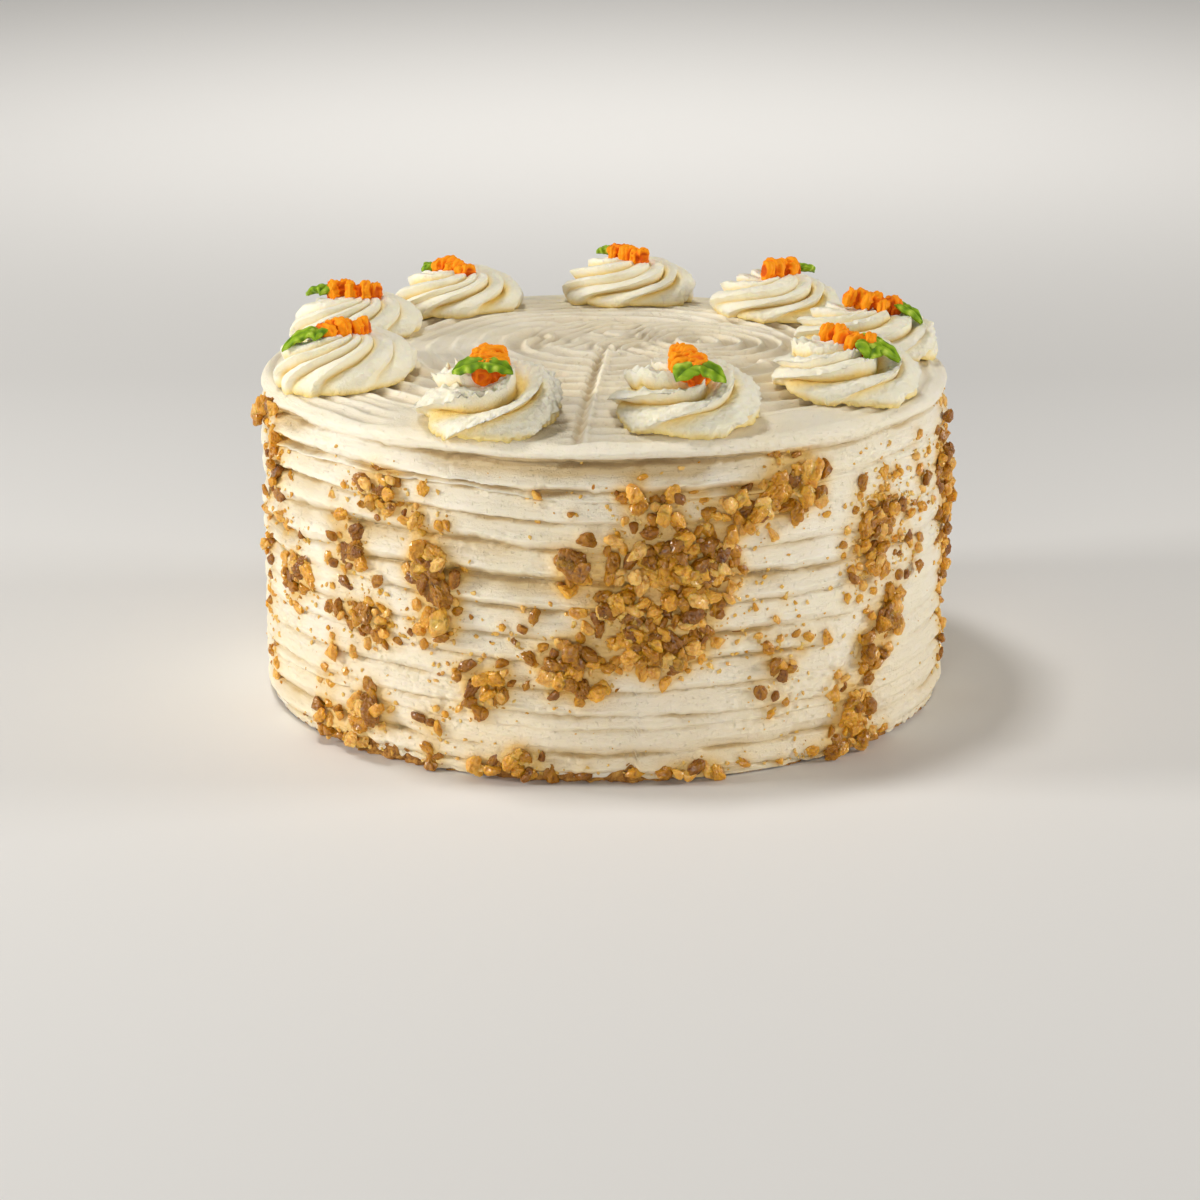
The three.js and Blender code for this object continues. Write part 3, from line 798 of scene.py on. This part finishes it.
def slab(middle, half, turn, columns=24, rows=16):
    """Closed rounded block turned about Z: vertices and triangles."""
    tilt = math.pi * np.arange(rows - 1, 0, -1)[:, None] / rows
    angle = TURN * np.arange(columns) / columns
    rings = turned(np.sin(tilt), angle, np.cos(tilt))
    v = np.vstack([rings.reshape(-1, 3), (0, 0, -1), (0, 0, 1)])
    v = np.sign(v) * np.abs(v) ** SLAB_ROUNDNESS * half
    v = np.stack([*rotated(v[:, 0], v[:, 1], turn), v[:, 2]], -1) + middle
    quads, fans = closed_faces(rows - 1, columns)
    return v, np.vstack([quads[:, :3], quads[:, [0, 2, 3]], fans])


def joined(parts):
    """Vertices and faces of several closed shapes as one."""
    vertices, faces, offset = [], [], 0
    for v, f in parts:
        vertices.append(v)
        faces.append(f + offset)
        offset += len(v)
    return np.vstack(vertices), np.vstack(faces)


# Carrots, about as in the frame: aim in degrees from outward, dip of the thick end, height of the axis over
# the rosette's top, breadth, slide outward
CARROT_POSES = {
    1: (0, 2, -0.6, 1.0, 0.0),
    2: (5, 2, -2.4, 1.0, 2.0),
    3: (45, 2, -0.8, 0.95, 0.0),
    4: (0, 8, -1.1, 1.0, 1.5),
    5: (-8, 17, -2.2, 1.05, 1.0),
    6: (-8, 14, -3.0, 1.1, 0.5),
    7: (0, 11, -2.0, 1.42, 2.6),
    8: (14, 10, -1.6, 1.65, 2.4),
    9: (0, 5, -1.4, 1.1, 0.0),
}
CARROT_LENGTH = 19.0
CARROT_HALF_WIDTH = 4.0
CARROT_HALF_HEIGHT = 4.3
CARROT_LOBES = 6
CARROT_VOXEL = 0.28
FOLD_HEIGHT = 0.42
RIDGE_HEIGHT = 0.6
GRAIN_HEIGHT = 0.07
SLAB_ROUNDNESS = 0.72
BED_DEPTH = 2.0
BED_WIDTH = 6.0


def carrot_bed(x, y, number):
    """Depth of the bed that a carrot and its leaves press into their rosette."""
    aim, dip, _, breadth, _ = CARROT_POSES[number]
    turn = math.radians(ROSETTE_PLACES[number][0] + aim)
    along, across = rotated(x, y, -turn)
    pressed = BED_DEPTH * (0.5 + dip / 18) * between(along, -13, -3, 13, 22)
    return pressed * gauss(across, BED_WIDTH * breadth ** 0.5)


def posed(points, number):
    """Turns points from along +X, thick end outward, to the way a carrot lies."""
    aim, dip = (math.radians(angle) for angle in CARROT_POSES[number][:2])
    x, y, z = points.T
    x, z = rotated(x, z, -dip)
    return np.stack([*rotated(x, y, aim + math.radians(ROSETTE_PLACES[number][0])), z], -1)


def carrot_middle(number):
    """Middle of a carrot: sunk into its rosette's top, higher where its thick end dips."""
    ring, _, height = ROSETTE_PLACES[number][1:]
    _, dip, level, _, slide = CARROT_POSES[number]
    lift = 0.25 * CARROT_LENGTH * math.sin(math.radians(dip))
    return np.array([*ring_place(number, slide), dome_height(ring + slide) + GAP + height + level + lift])


def carrot(number):
    """Zigzag of orange icing that narrows towards the cake's middle."""
    random = np.random.RandomState(300 + number)
    breadth = CARROT_POSES[number][3]
    parts = []
    for i in range(CARROT_LOBES):
        share = (i + 0.5) / CARROT_LOBES
        taper = 0.5 + 0.5 * share
        side = 1 if i % 2 else -1
        along = (share - 0.5) * (CARROT_LENGTH - 3.0) + random.uniform(-0.4, 0.4)
        half = (1.7 + 0.3 * taper, CARROT_HALF_WIDTH * breadth * taper * random.uniform(0.85, 1.05),
                CARROT_HALF_HEIGHT * (0.5 + 0.5 * taper) * random.uniform(0.85, 1.1))
        middle = (along, side * 1.1 * taper * breadth, random.uniform(-0.8, 0.6))
        parts.append(slab(middle, half, side * random.uniform(0.2, 0.6)))
    vertices, faces = joined(parts)
    made = new_mesh(f"carrot_piped_{number}", vertices, faces)
    remesh = made.modifiers.new("one_skin", "REMESH")
    remesh.mode = "VOXEL"
    remesh.voxel_size = CARROT_VOXEL * MM
    smooth = made.modifiers.new("soft_folds", "SMOOTH")
    smooth.factor = 0.5
    smooth.iterations = 1
    apply_modifiers(made)
    mesh = made.data
    v = read_vertices(mesh, "co") / MM
    normal = read_vertices(mesh, "normal")
    fold = np.abs(np.sin(1.7 * v[:, 0] + 0.7 * v[:, 1] + 0.9 * np.sin(0.9 * v[:, 1] + number))) ** 0.6 - 0.6
    ridge = 0.4 - np.abs(noise(v[:, 0] / 1.6, v[:, 1] / 2.4, v[:, 2] / 1.8 + number * 4, seed=61))
    fine = noise(v[:, 0] / 0.7, v[:, 1] / 0.7, v[:, 2] / 0.7 + number * 4, seed=62)
    taper = 0.75 + 0.25 * v[:, 0] / (CARROT_LENGTH / 2)
    reach = np.hypot(v[:, 1] / (CARROT_HALF_WIDTH * breadth), v[:, 2] / CARROT_HALF_HEIGHT) / taper
    # Painted light: tone is lighter on ridges and the lobes' outer tips, darker in the folds
    tone = smoothstep(0.62, 1.15, reach) + 0.5 * fold + 0.5 * ridge
    v = v + normal * (FOLD_HEIGHT * fold + RIDGE_HEIGHT * ridge + GRAIN_HEIGHT * fine)[:, None]
    v = posed(v, number) + carrot_middle(number)
    mesh.vertices.foreach_set("co", (v * MM).ravel())
    add_layer(mesh, "tone", np.clip(tone, 0, 1))
    mesh.polygons.foreach_set("use_smooth", np.ones(len(mesh.polygons), bool))
    mesh.update()
    dress(made, ORANGE, [f"carrot_{number}"])


# Leaves: direction in degrees from outward, length, width, lift of the tip; and how far out and up they start
LEAF_SPRAYS = {
    1: ((-4, 10.0, 7.0, 1.4), (70, 6.0, 6.0, 1.0)),
    2: ((-10, 7.0, 6.5, 1.2), (55, 6.0, 5.5, 0.8)),
    3: ((35, 6.5, 6.0, 1.2), (-40, 6.0, 6.0, 0.8)),
    4: ((-10, 8.5, 7.0, 1.8), (50, 6.5, 6.5, 0.4)),
    5: ((-20, 10.5, 8.5, 1.6), (42, 8.5, 8.0, 0.8)),
    6: ((24, 11.5, 9.5, 0.8), (-48, 8.5, 9.0, 0.4), (95, 6.0, 6.5, 0.8)),
    7: ((54, 9.5, 9.0, 0.3), (-58, 8.5, 8.5, 0.3)),
    8: ((82, 8.8, 8.6, 0.3), (-78, 9.2, 9.2, 0.8)),
    9: ((-8, 12.5, 9.0, 0.4), (64, 7.0, 6.5, 0.8)),
}
LEAF_STARTS = {
    1: (8.0, 0.5), 2: (8.5, 0.5), 3: (8.0, 0.5), 4: (8.0, 0.8), 5: (7.5, 1.5), 6: (7.0, 2.4), 7: (7.6, 2.6),
    8: (8.0, 3.0), 9: (7.5, 1.2),
}
LEAF_THICKNESS = 2.6
LEAF_DROOP = 0.034
LEAF_ROWS = 40
LEAF_COLUMNS = 19


def leaf(direction, length, width, lift, seed):
    """One ruffled leaf from the origin: vertices, quads and tone."""
    along = np.linspace(0, 1, LEAF_ROWS)[:, None]
    across = np.sin(np.linspace(-math.pi / 2, math.pi / 2, LEAF_COLUMNS))[None, :]
    outline = np.sin(np.pi * np.clip(along * 0.86 + 0.14, 0, 1) ** 1.15) ** 0.6
    ripple = 1 + 0.04 * np.sin(along * 17 + seed * 1.7 + 1.5 * np.sign(across))
    half = (width / 2 * outline + 0.15) * ripple
    x = along * length * (1 - 0.06 * across ** 2)
    y = across * half + 0.6 * np.sin(2.6 * along + seed)
    fold = 1.0 * np.abs(across) ** 1.5 * outline
    ruffle = 0.26 * np.sin(along * 17 + 2.2 * np.sign(across) + seed * 2.1) * np.abs(across)
    groove = -0.9 * gauss(across, 0.16) * outline
    middle = lift * np.sin(along * 2.2) * along + fold + ruffle * smoothstep(0.0, 0.2, along)
    middle = middle + 0.12 * noise(x / 1.1 + seed * 7, y / 1.1, middle, seed=71)
    thick = LEAF_THICKNESS * np.sqrt(np.clip(1 - across ** 2, 0, 1)) * (0.35 + 0.65 * outline)
    mottle = noise(x / 1.6, y / 1.6, seed * 3.0, seed=72)
    # Painted shade along the midrib groove and the ruffles' low sides, painted highlight on their raised
    # sides; mottle is random, and the tone darkens towards the tip
    tone = 0.55 - 0.35 * gauss(across, 0.2) + 0.9 * ruffle + 0.25 * mottle - 0.15 * along
    x, y = rotated(x, y, math.radians(direction))
    faces_z = (middle + 0.5 * thick + groove, middle - 0.5 * thick)
    layers = [np.stack([x, y, z], -1).reshape(-1, 3) for z in faces_z]
    face = grid_faces(LEAF_ROWS, LEAF_COLUMNS, closed=False)
    count = LEAF_ROWS * LEAF_COLUMNS
    grid = np.arange(count).reshape(LEAF_ROWS, LEAF_COLUMNS)
    edge = np.concatenate([grid[0, :-1], grid[:-1, -1], grid[-1, :0:-1], grid[:0:-1, 0]])
    beyond = np.roll(edge, -1)
    wall = np.stack([edge, beyond, beyond + count, edge + count], -1)
    faces = np.vstack([face[:, ::-1], face + count, wall])
    return np.vstack(layers), faces, np.tile(tone.ravel(), 2)


def leaves(number):
    """Spray of drooping leaves at a carrot's thick end."""
    parts, tones = [], []
    for index, (direction, length, width, lift) in enumerate(LEAF_SPRAYS[number]):
        vertices, faces, tone = leaf(direction, length, width, lift, number * 3 + index)
        away = np.hypot(vertices[:, 0], vertices[:, 1])
        vertices[:, 2] -= LEAF_DROOP * away ** 2
        parts.append((vertices, faces[:, ::-1]))
        tones.append(tone)
    vertices, faces = joined(parts)
    out, up = LEAF_STARTS[number]
    vertices = posed(vertices + np.array([out, 0.0, up]), number) + carrot_middle(number)
    made = new_mesh(f"leaves_piped_{number}", vertices, faces, tone=np.concatenate(tones))
    dress(made, GREEN, [f"leaves_{number}"])


# Walnuts: drifts as in the frame's frosting. Azimuth, height, half extents along and up, lean, large pieces,
# largest length, chips, bits
DRIFTS = (
    (-159, 84, 4, 9, 0, 3, 7, 8, 16), (-128, 84, 11, 6, -22, 4, 5.5, 12, 26),
    (-134, 62, 5, 8, 0, 4, 6.5, 7, 14), (-118, 57, 5, 13, 8, 7, 8.5, 16, 26),
    (-149, 49, 8, 8, 20, 3, 7, 10, 24), (-133, 43, 11, 5, 0, 2, 6, 14, 40),
    (-131, 13, 8, 5, 10, 2, 8, 6, 16), (-109, 30, 7, 6, 0, 3, 6.5, 9, 18),
    (-95, 65, 3, 12, -6, 3, 8, 5, 12), (-96, 34, 8, 6, 15, 3, 7.5, 10, 18),
    (-80, 63, 11, 14, 10, 8, 8, 90, 90), (-81, 42, 9, 7, 0, 4, 8, 24, 26),
    (-64, 84, 9, 5, 30, 4, 7.5, 16, 16), (-58, 88, 3, 5, 0, 2, 8.5, 3, 6),
    (-42, 67, 10, 12, 0, 4, 6, 34, 60), (-38, 39, 4, 9, -12, 4, 8, 12, 18),
    (-46, 14, 5, 7, 20, 3, 7.5, 8, 18), (-12, 72, 6, 20, 0, 4, 7, 34, 54),
)
# Drifts of chips and bits alone, so without a number of large pieces
FINE_DRIFTS = (
    (-120, 76, 5, 3, 0, 6, 9, 12), (-128, 81, 6, 4, -20, 6, 9, 16), (-137, 62, 4, 9, 0, 7, 8, 14),
    (-152, 45, 5, 7, 0, 7, 11, 18), (-129, 44, 8, 5, 0, 5.5, 18, 40), (-109, 31, 5, 6, 0, 6.5, 10, 14),
    (-96, 36, 9, 6, 0, 8, 15, 12), (-140, 31, 9, 7, 0, 7, 6, 14), (-142, 9, 4, 7, 0, 6.5, 10, 14),
    (-129, 18, 4, 4, 0, 7, 5, 8), (-117, 15, 7, 7, 0, 6.5, 9, 18), (-118, 60, 5, 12, 8, 7, 20, 20),
    (-103, 6, 8, 4, 0, 8, 9, 12), (-105, 48, 5, 5, 0, 7, 5, 14), (-87, 66, 5, 4, 0, 8, 8, 10),
    (-82, 83, 6, 5, -15, 7, 12, 16), (-75, 65, 8, 8, 0, 7.5, 44, 60), (-86, 50, 7, 7, 0, 7, 52, 60),
    (-72, 55, 6, 6, 0, 5.5, 14, 26), (-78, 39, 8, 4, 0, 8, 10, 12), (-68, 80, 5, 6, 20, 7.5, 14, 14),
    (-59, 86, 6, 6, 0, 8.5, 18, 10), (-61, 25, 8, 11, 0, 6, 13, 26), (-62, 50, 8, 14, 0, 4, 6, 50),
    (-47, 12, 5, 8, 15, 7.5, 22, 22), (-42, 32, 4, 7, 0, 8, 16, 14), (-43, 62, 8, 12, 0, 6, 26, 44),
    (-38, 72, 8, 10, 0, 5.5, 18, 34), (-31, 58, 7, 14, 0, 6, 16, 34), (-17, 78, 5, 14, 0, 6.5, 30, 34),
    (-13, 46, 4, 22, 0, 6, 30, 44), (-27, 82, 6, 6, 0, 6, 6, 14), (-90, 85, 10, 8, 0, 6, 4, 12),
    (-155, 68, 4, 12, 0, 7, 8, 18), (-165, 65, 3, 26, 0, 6, 22, 40), (-163, 30, 4, 16, 0, 6, 8, 20),
    (-166, 92, 3, 4, 0, 9, 5, 3), (-138, 3.4, 10, 1.3, 0, 7, 14, 18),
    (-105, 3.2, 12, 1.3, 0, 7.5, 10, 16), (-75, 3.2, 16, 1.3, 0, 7, 10, 18),
    (-48, 3.2, 14, 1.3, 0, 7, 14, 18),
)
BACK_SHARE = 0.3
BACK_FINE_SHARE = 0.7
SEED = 20
NUT_WIDTH_SHARE = 0.72
NUT_DEPTH_SHARE = 0.62
NUT_SINK_SHARE = 0.16
NUT_FLOOR = 0.15
NUT_LOWEST = 4.5
NUT_HIGHEST = 94.0
CHIP_LOWEST = 2.4
CHIP_HIGHEST = 97.0
CHIP_SMALLEST = 2.5
SLIVER_LARGEST = 4.6
CRUMB_LARGEST = 3.7
FINE_LARGEST = 1.2
PALER = 0.18
CHIP_LARGEST_SHARE = 0.86
CHIP_SPREAD = 0.78
BIT_SPREAD = 1.05
NUT_SPACING = 0.36
PILED_SHARE = 0.45
PILED_LIFT = 0.38
PLACE_TRIES = 8
CLINGING_BITS = 2
LOOSE_BITS = 420
MOST_NUTS = 9000
LARGE_GROWTH = 1.27


def uniform_from(seed):
    """The frame's own seeded draws between 0 and 1."""
    state = seed & 0xFFFFFFFF

    def draw():
        nonlocal state
        state = (state + 0x6D2B79F5) & 0xFFFFFFFF
        t = state
        t = ((t ^ (t >> 15)) * (t | 1)) & 0xFFFFFFFF
        t ^= (t + (((t ^ (t >> 7)) * (t | 61)) & 0xFFFFFFFF)) & 0xFFFFFFFF
        return ((t ^ (t >> 14)) & 0xFFFFFFFF) / 4294967296

    return draw


def in_drift(drift, mirror, across, rise, lowest, highest):
    """Azimuth and height of a point of a drift."""
    azimuth, height, _, _, lean = drift[:5]
    shift, lift = rotated(across, rise, math.radians(lean))
    return mirror * (math.radians(azimuth) + shift / CAKE_RADIUS), min(max(height + lift, lowest), highest)


def large_nuts(drift, seed, mirror):
    """Azimuth, height, length, spin and lift of a drift's large pieces."""
    along, up, _, large, size = drift[2:7]
    draw = uniform_from(seed)
    count = large if mirror > 0 else int(large * BACK_SHARE + 0.5)
    nuts = []
    for i in range(count):
        angle = 2.4 * i + 6.28 * draw() * 0.25
        reach = math.sqrt((i + 0.35) / large)
        across, rise = along * reach * math.cos(angle), up * reach * math.sin(angle)
        place, level = in_drift(drift, mirror, across, rise, NUT_LOWEST, NUT_HIGHEST)
        length = LARGE_GROWTH * size * (1 - 0.3 * (i / large)) * (0.9 + 0.15 * draw())
        nuts.append((place, level, length, math.pi * draw(), 0.0))
        draw()
    return nuts


def scattered(drift, mirror, spread, random):
    """One random place in a drift."""
    a, b = np.clip(random.normal(0, spread, 2), -2.2, 2.2)
    return in_drift(drift, mirror, drift[2] * a, drift[3] * b, CHIP_LOWEST, CHIP_HIGHEST)


class Bed:
    """Nuts laid so far, to find room for others."""

    def __init__(self, nuts):
        self.taken = np.zeros((MOST_NUTS, 3))
        self.count = 0
        for nut in nuts:
            self.lay(nut)

    def lay(self, nut):
        self.taken[self.count] = nut[:3]
        self.count += 1

    def has_room(self, place, level, length):
        others = self.taken[:self.count]
        away = np.hypot((others[:, 0] - place) * CAKE_RADIUS, others[:, 1] - level)
        return bool(np.all(away > NUT_SPACING * (others[:, 2] + length)))


def nut_places(random):
    """Places of the large pieces, the chips round them and the finest bits."""
    large, chips, bits = [], [], []

    def bit(place, level, length):
        bits.append((place, level, length, random.uniform(0, math.pi), 0.0))

    for index, drift in enumerate(DRIFTS):
        large += large_nuts(drift, SEED + index, 1)
        large += large_nuts(drift, SEED + len(DRIFTS) + index, -1)
    bed = Bed(large)
    for drift in DRIFTS + FINE_DRIFTS:
        size, chip_count, bit_count = drift[-3:]
        for mirror, share in ((1, 1.0), (-1, BACK_FINE_SHARE)):
            for _ in range(int(chip_count * share)):
                length = CHIP_SMALLEST + (size * CHIP_LARGEST_SHARE - CHIP_SMALLEST) * random.uniform(0, 1)
                for _ in range(PLACE_TRIES):
                    place, level = scattered(drift, mirror, CHIP_SPREAD, random)
                    room = bed.has_room(place, level, length)
                    if room or random.uniform(0, 1) < PILED_SHARE:
                        lift = 0.0 if room else PILED_LIFT * length
                        chips.append((place, level, length, random.uniform(0, math.pi), lift))
                        bed.lay(chips[-1])
                        break
            for _ in range(int(bit_count * share)):
                bit(*scattered(drift, mirror, BIT_SPREAD, random), random.uniform(0.8, 2.4))
    for place, level, length, *_ in large + chips:
        for _ in range(CLINGING_BITS):
            angle = random.uniform(0, TURN)
            along, up = rotated(length * random.uniform(0.42, 0.72), 0.0, angle)
            bit(place + along / CAKE_RADIUS, max(CHIP_LOWEST, level + up), random.uniform(0.8, 1.7))
    for _ in range(LOOSE_BITS):
        level = CHIP_LOWEST + 92 * random.uniform(0, 1) ** 1.15
        length = 0.5 + 1.3 * random.uniform(0, 1) ** 2.5
        bit(random.uniform(-math.pi, math.pi), level, length)
    return large, chips, bits


def ball(level):
    """Unit icosphere's vertices and triangles."""
    bm = bmesh.new()
    bmesh.ops.create_icosphere(bm, subdivisions=level, radius=1.0)
    vertices = np.array([v.co[:] for v in bm.verts])
    faces = np.array([[v.index for v in f.verts] for f in bm.faces])
    bm.free()
    return vertices / np.linalg.norm(vertices, axis=1)[:, None], faces


CREASE_TONE = 0.28
AMBER_TONES = (0.66, 0.97)
SKIN_TONES = (0.20, 0.60)
CHOP_FLATS = 9
CHOP_SHARPNESS = 18.0
CHOP_REACH = 0.6


def chopped(directions, count, random):
    """Angular lumps about 1 across, cut by random flats: vertices and depths of wrinkles."""
    flats = random.normal(size=(count, CHOP_FLATS, 3))
    flats /= np.linalg.norm(flats, axis=2)[..., None]
    far = random.uniform(0.27, 0.50, size=(count, 1, CHOP_FLATS))
    dots = np.einsum("dk,nfk->ndf", directions, flats)
    reach = np.where(dots > 0.05, far / np.maximum(dots, 0.05), 4.0)
    radius = np.sum(reach ** -CHOP_SHARPNESS, axis=2) ** (-1 / CHOP_SHARPNESS)
    radius = np.minimum(radius, CHOP_REACH)
    offset = random.uniform(0, 90, size=(count, 1, 3))
    at = (directions[None] * 1.9 + offset).transpose(2, 0, 1)
    wrinkle = np.abs(noise(*at, seed=81))
    fine = noise(*(2.7 * at), seed=82)
    rough = noise(*(6 * at), seed=83)
    radius = radius * (0.93 + 0.26 * np.minimum(wrinkle, 0.45) + 0.08 * fine + 0.035 * rough)
    return directions[None] * radius[..., None], smoothstep(0.16, 0.0, wrinkle)


def scatter(name, places, level, tones, random):
    """Many nuts pressed into the side, as one piece."""
    directions, faces = ball(level)
    places = np.array(places)
    azimuth, height, length, spin, lift = (column[:, None] for column in places.T)
    shape, crease = chopped(directions, len(places), random)
    depth = length * NUT_DEPTH_SHARE
    along, up = rotated(shape[..., 0] * length, shape[..., 1] * length * NUT_WIDTH_SHARE, spin)
    surface = CAKE_RADIUS + side_relief(azimuth, height) + lift
    out = surface + depth * NUT_SINK_SHARE + shape[..., 2] * depth
    x, y = rotated(out, along, azimuth)
    vertices = np.stack([x, y, np.maximum(height + up, NUT_FLOOR)], -1).reshape(-1, 3)
    offsets = np.arange(len(places))[:, None, None] * len(directions)
    tone = np.clip(np.asarray(tones)[:, None] - CREASE_TONE * crease, 0, 1)
    made = new_mesh(name, vertices, (faces[None] + offsets).reshape(-1, 3), smooth=False, tone=tone)
    dress(made, WALNUT)


def walnuts(large, chips, bits, random):
    """Nuts by size, with brown skins and amber kernels mixed."""
    broad, middling, small = by_length(chips, SLIVER_LARGEST, CRUMB_LARGEST)
    coarse, fine = by_length(bits, FINE_LARGEST)
    for name, nuts, level, amber_share, paler in (
            ("pieces", large, 4, 0.25, 0.0), ("chips", broad, 3, 0.5, 0.0),
            ("slivers", middling, 2, 0.5, 0.0), ("crumbs", small, 2, 0.75, 0.0),
            ("bits", coarse, 1, 0.9, PALER), ("dust", fine, 1, 0.9, PALER)):
        count = len(nuts)
        amber = random.uniform(0, 1, count) < amber_share
        tones = np.where(amber, random.uniform(*AMBER_TONES, count), random.uniform(*SKIN_TONES, count))
        scatter(f"walnut_{name}", nuts, level, tones + paler, random)


def by_length(nuts, *limits):
    """Splits nuts at some lengths, the longest first."""
    ends = (math.inf, *limits, 0)
    return [[nut for nut in nuts if low <= nut[2] < high] for high, low in zip(ends, ends[1:])]


# Stage, lights and camera

FLOOR_HALF = 3000
FLOOR_COLOUR = (0.80, 0.79, 0.77)


def floor():
    """Plain pale floor that the cake stands on."""
    corners = FLOOR_HALF * np.array([(-1, -1, 0), (1, -1, 0), (1, 1, 0), (-1, 1, 0)])
    made = new_mesh("floor", corners, np.array([[0, 1, 2, 3]]), smooth=False)
    made.data.materials.append(Shader("pale_floor").finish(Base_Color=FLOOR_COLOUR, Roughness=0.7))


# Lights: place and target in metres, size, power
LIGHTS = (
    ("key", (-1.4, -0.15, 0.42), (0, 0, 0.05), 0.3, 14.1),
    ("right", (1.35, 0.0, 0.42), (0, 0, 0.06), 0.4, 10.0),
    ("front_fill", (-0.15, -2.2, 0.36), (0, 0, 0.03), 1.0, 19.3),
    ("above", (-0.3, 0.1, 1.35), (0, 0, 0.1), 0.25, 7.5),
    ("backdrop", (0, 1.0, 0.9), (0, 2.4, 0), 0.8, 9.0),
)
LIGHT_COLOUR = (1.0, 0.98, 0.95)
SKY_COLOUR = (1.0, 0.96, 0.90, 1.0)
SKY_STRENGTH = 0.13


def light(name, place, target, size, power):
    """Soft square light aimed at a point."""
    data = bpy.data.lights.new(name, "AREA")
    data.size = size
    data.energy = power
    data.color = LIGHT_COLOUR
    lamp = placed(name, data)
    lamp.location = place
    lamp.rotation_euler = (Vector(target) - Vector(place)).to_track_quat("-Z", "Y").to_euler()


def lights():
    """All the lights, in a dim pale surround."""
    for row in LIGHTS:
        light(*row)
    world = bpy.data.worlds.new("studio")
    world.use_nodes = True
    sky = world.node_tree.nodes["Background"]
    sky.inputs["Color"].default_value = SKY_COLOUR
    sky.inputs["Strength"].default_value = SKY_STRENGTH
    bpy.context.scene.world = world


# Camera as in the photo: distance and height in metres, pitch in degrees, focal length in frame widths
CAMERA_PLACE = (-0.0013, -1.127, 0.362)
CAMERA_PITCH = 16.67
FOCAL_SHARE = 3669 / 1200
SENSOR = 36.0


def camera():
    """Camera at the photograph's viewing angle."""
    data = bpy.data.cameras.new("camera")
    data.sensor_width = SENSOR
    data.lens = SENSOR * FOCAL_SHARE
    made = placed("camera", data)
    made.location = CAMERA_PLACE
    made.rotation_euler = (math.radians(90 - CAMERA_PITCH), 0, 0)
    bpy.context.scene.camera = made


camera()
floor()
lights()
nut_random = np.random.RandomState(7)
large, chips, bits = nut_places(nut_random)
sponge()
frosting(large + chips)
for rosette_number in range(1, ROSETTES + 1):
    rosette(rosette_number)
    carrot(rosette_number)
    leaves(rosette_number)
walnuts(large, chips, bits, nut_random)
bpy.context.scene.view_settings.view_transform = "Standard"
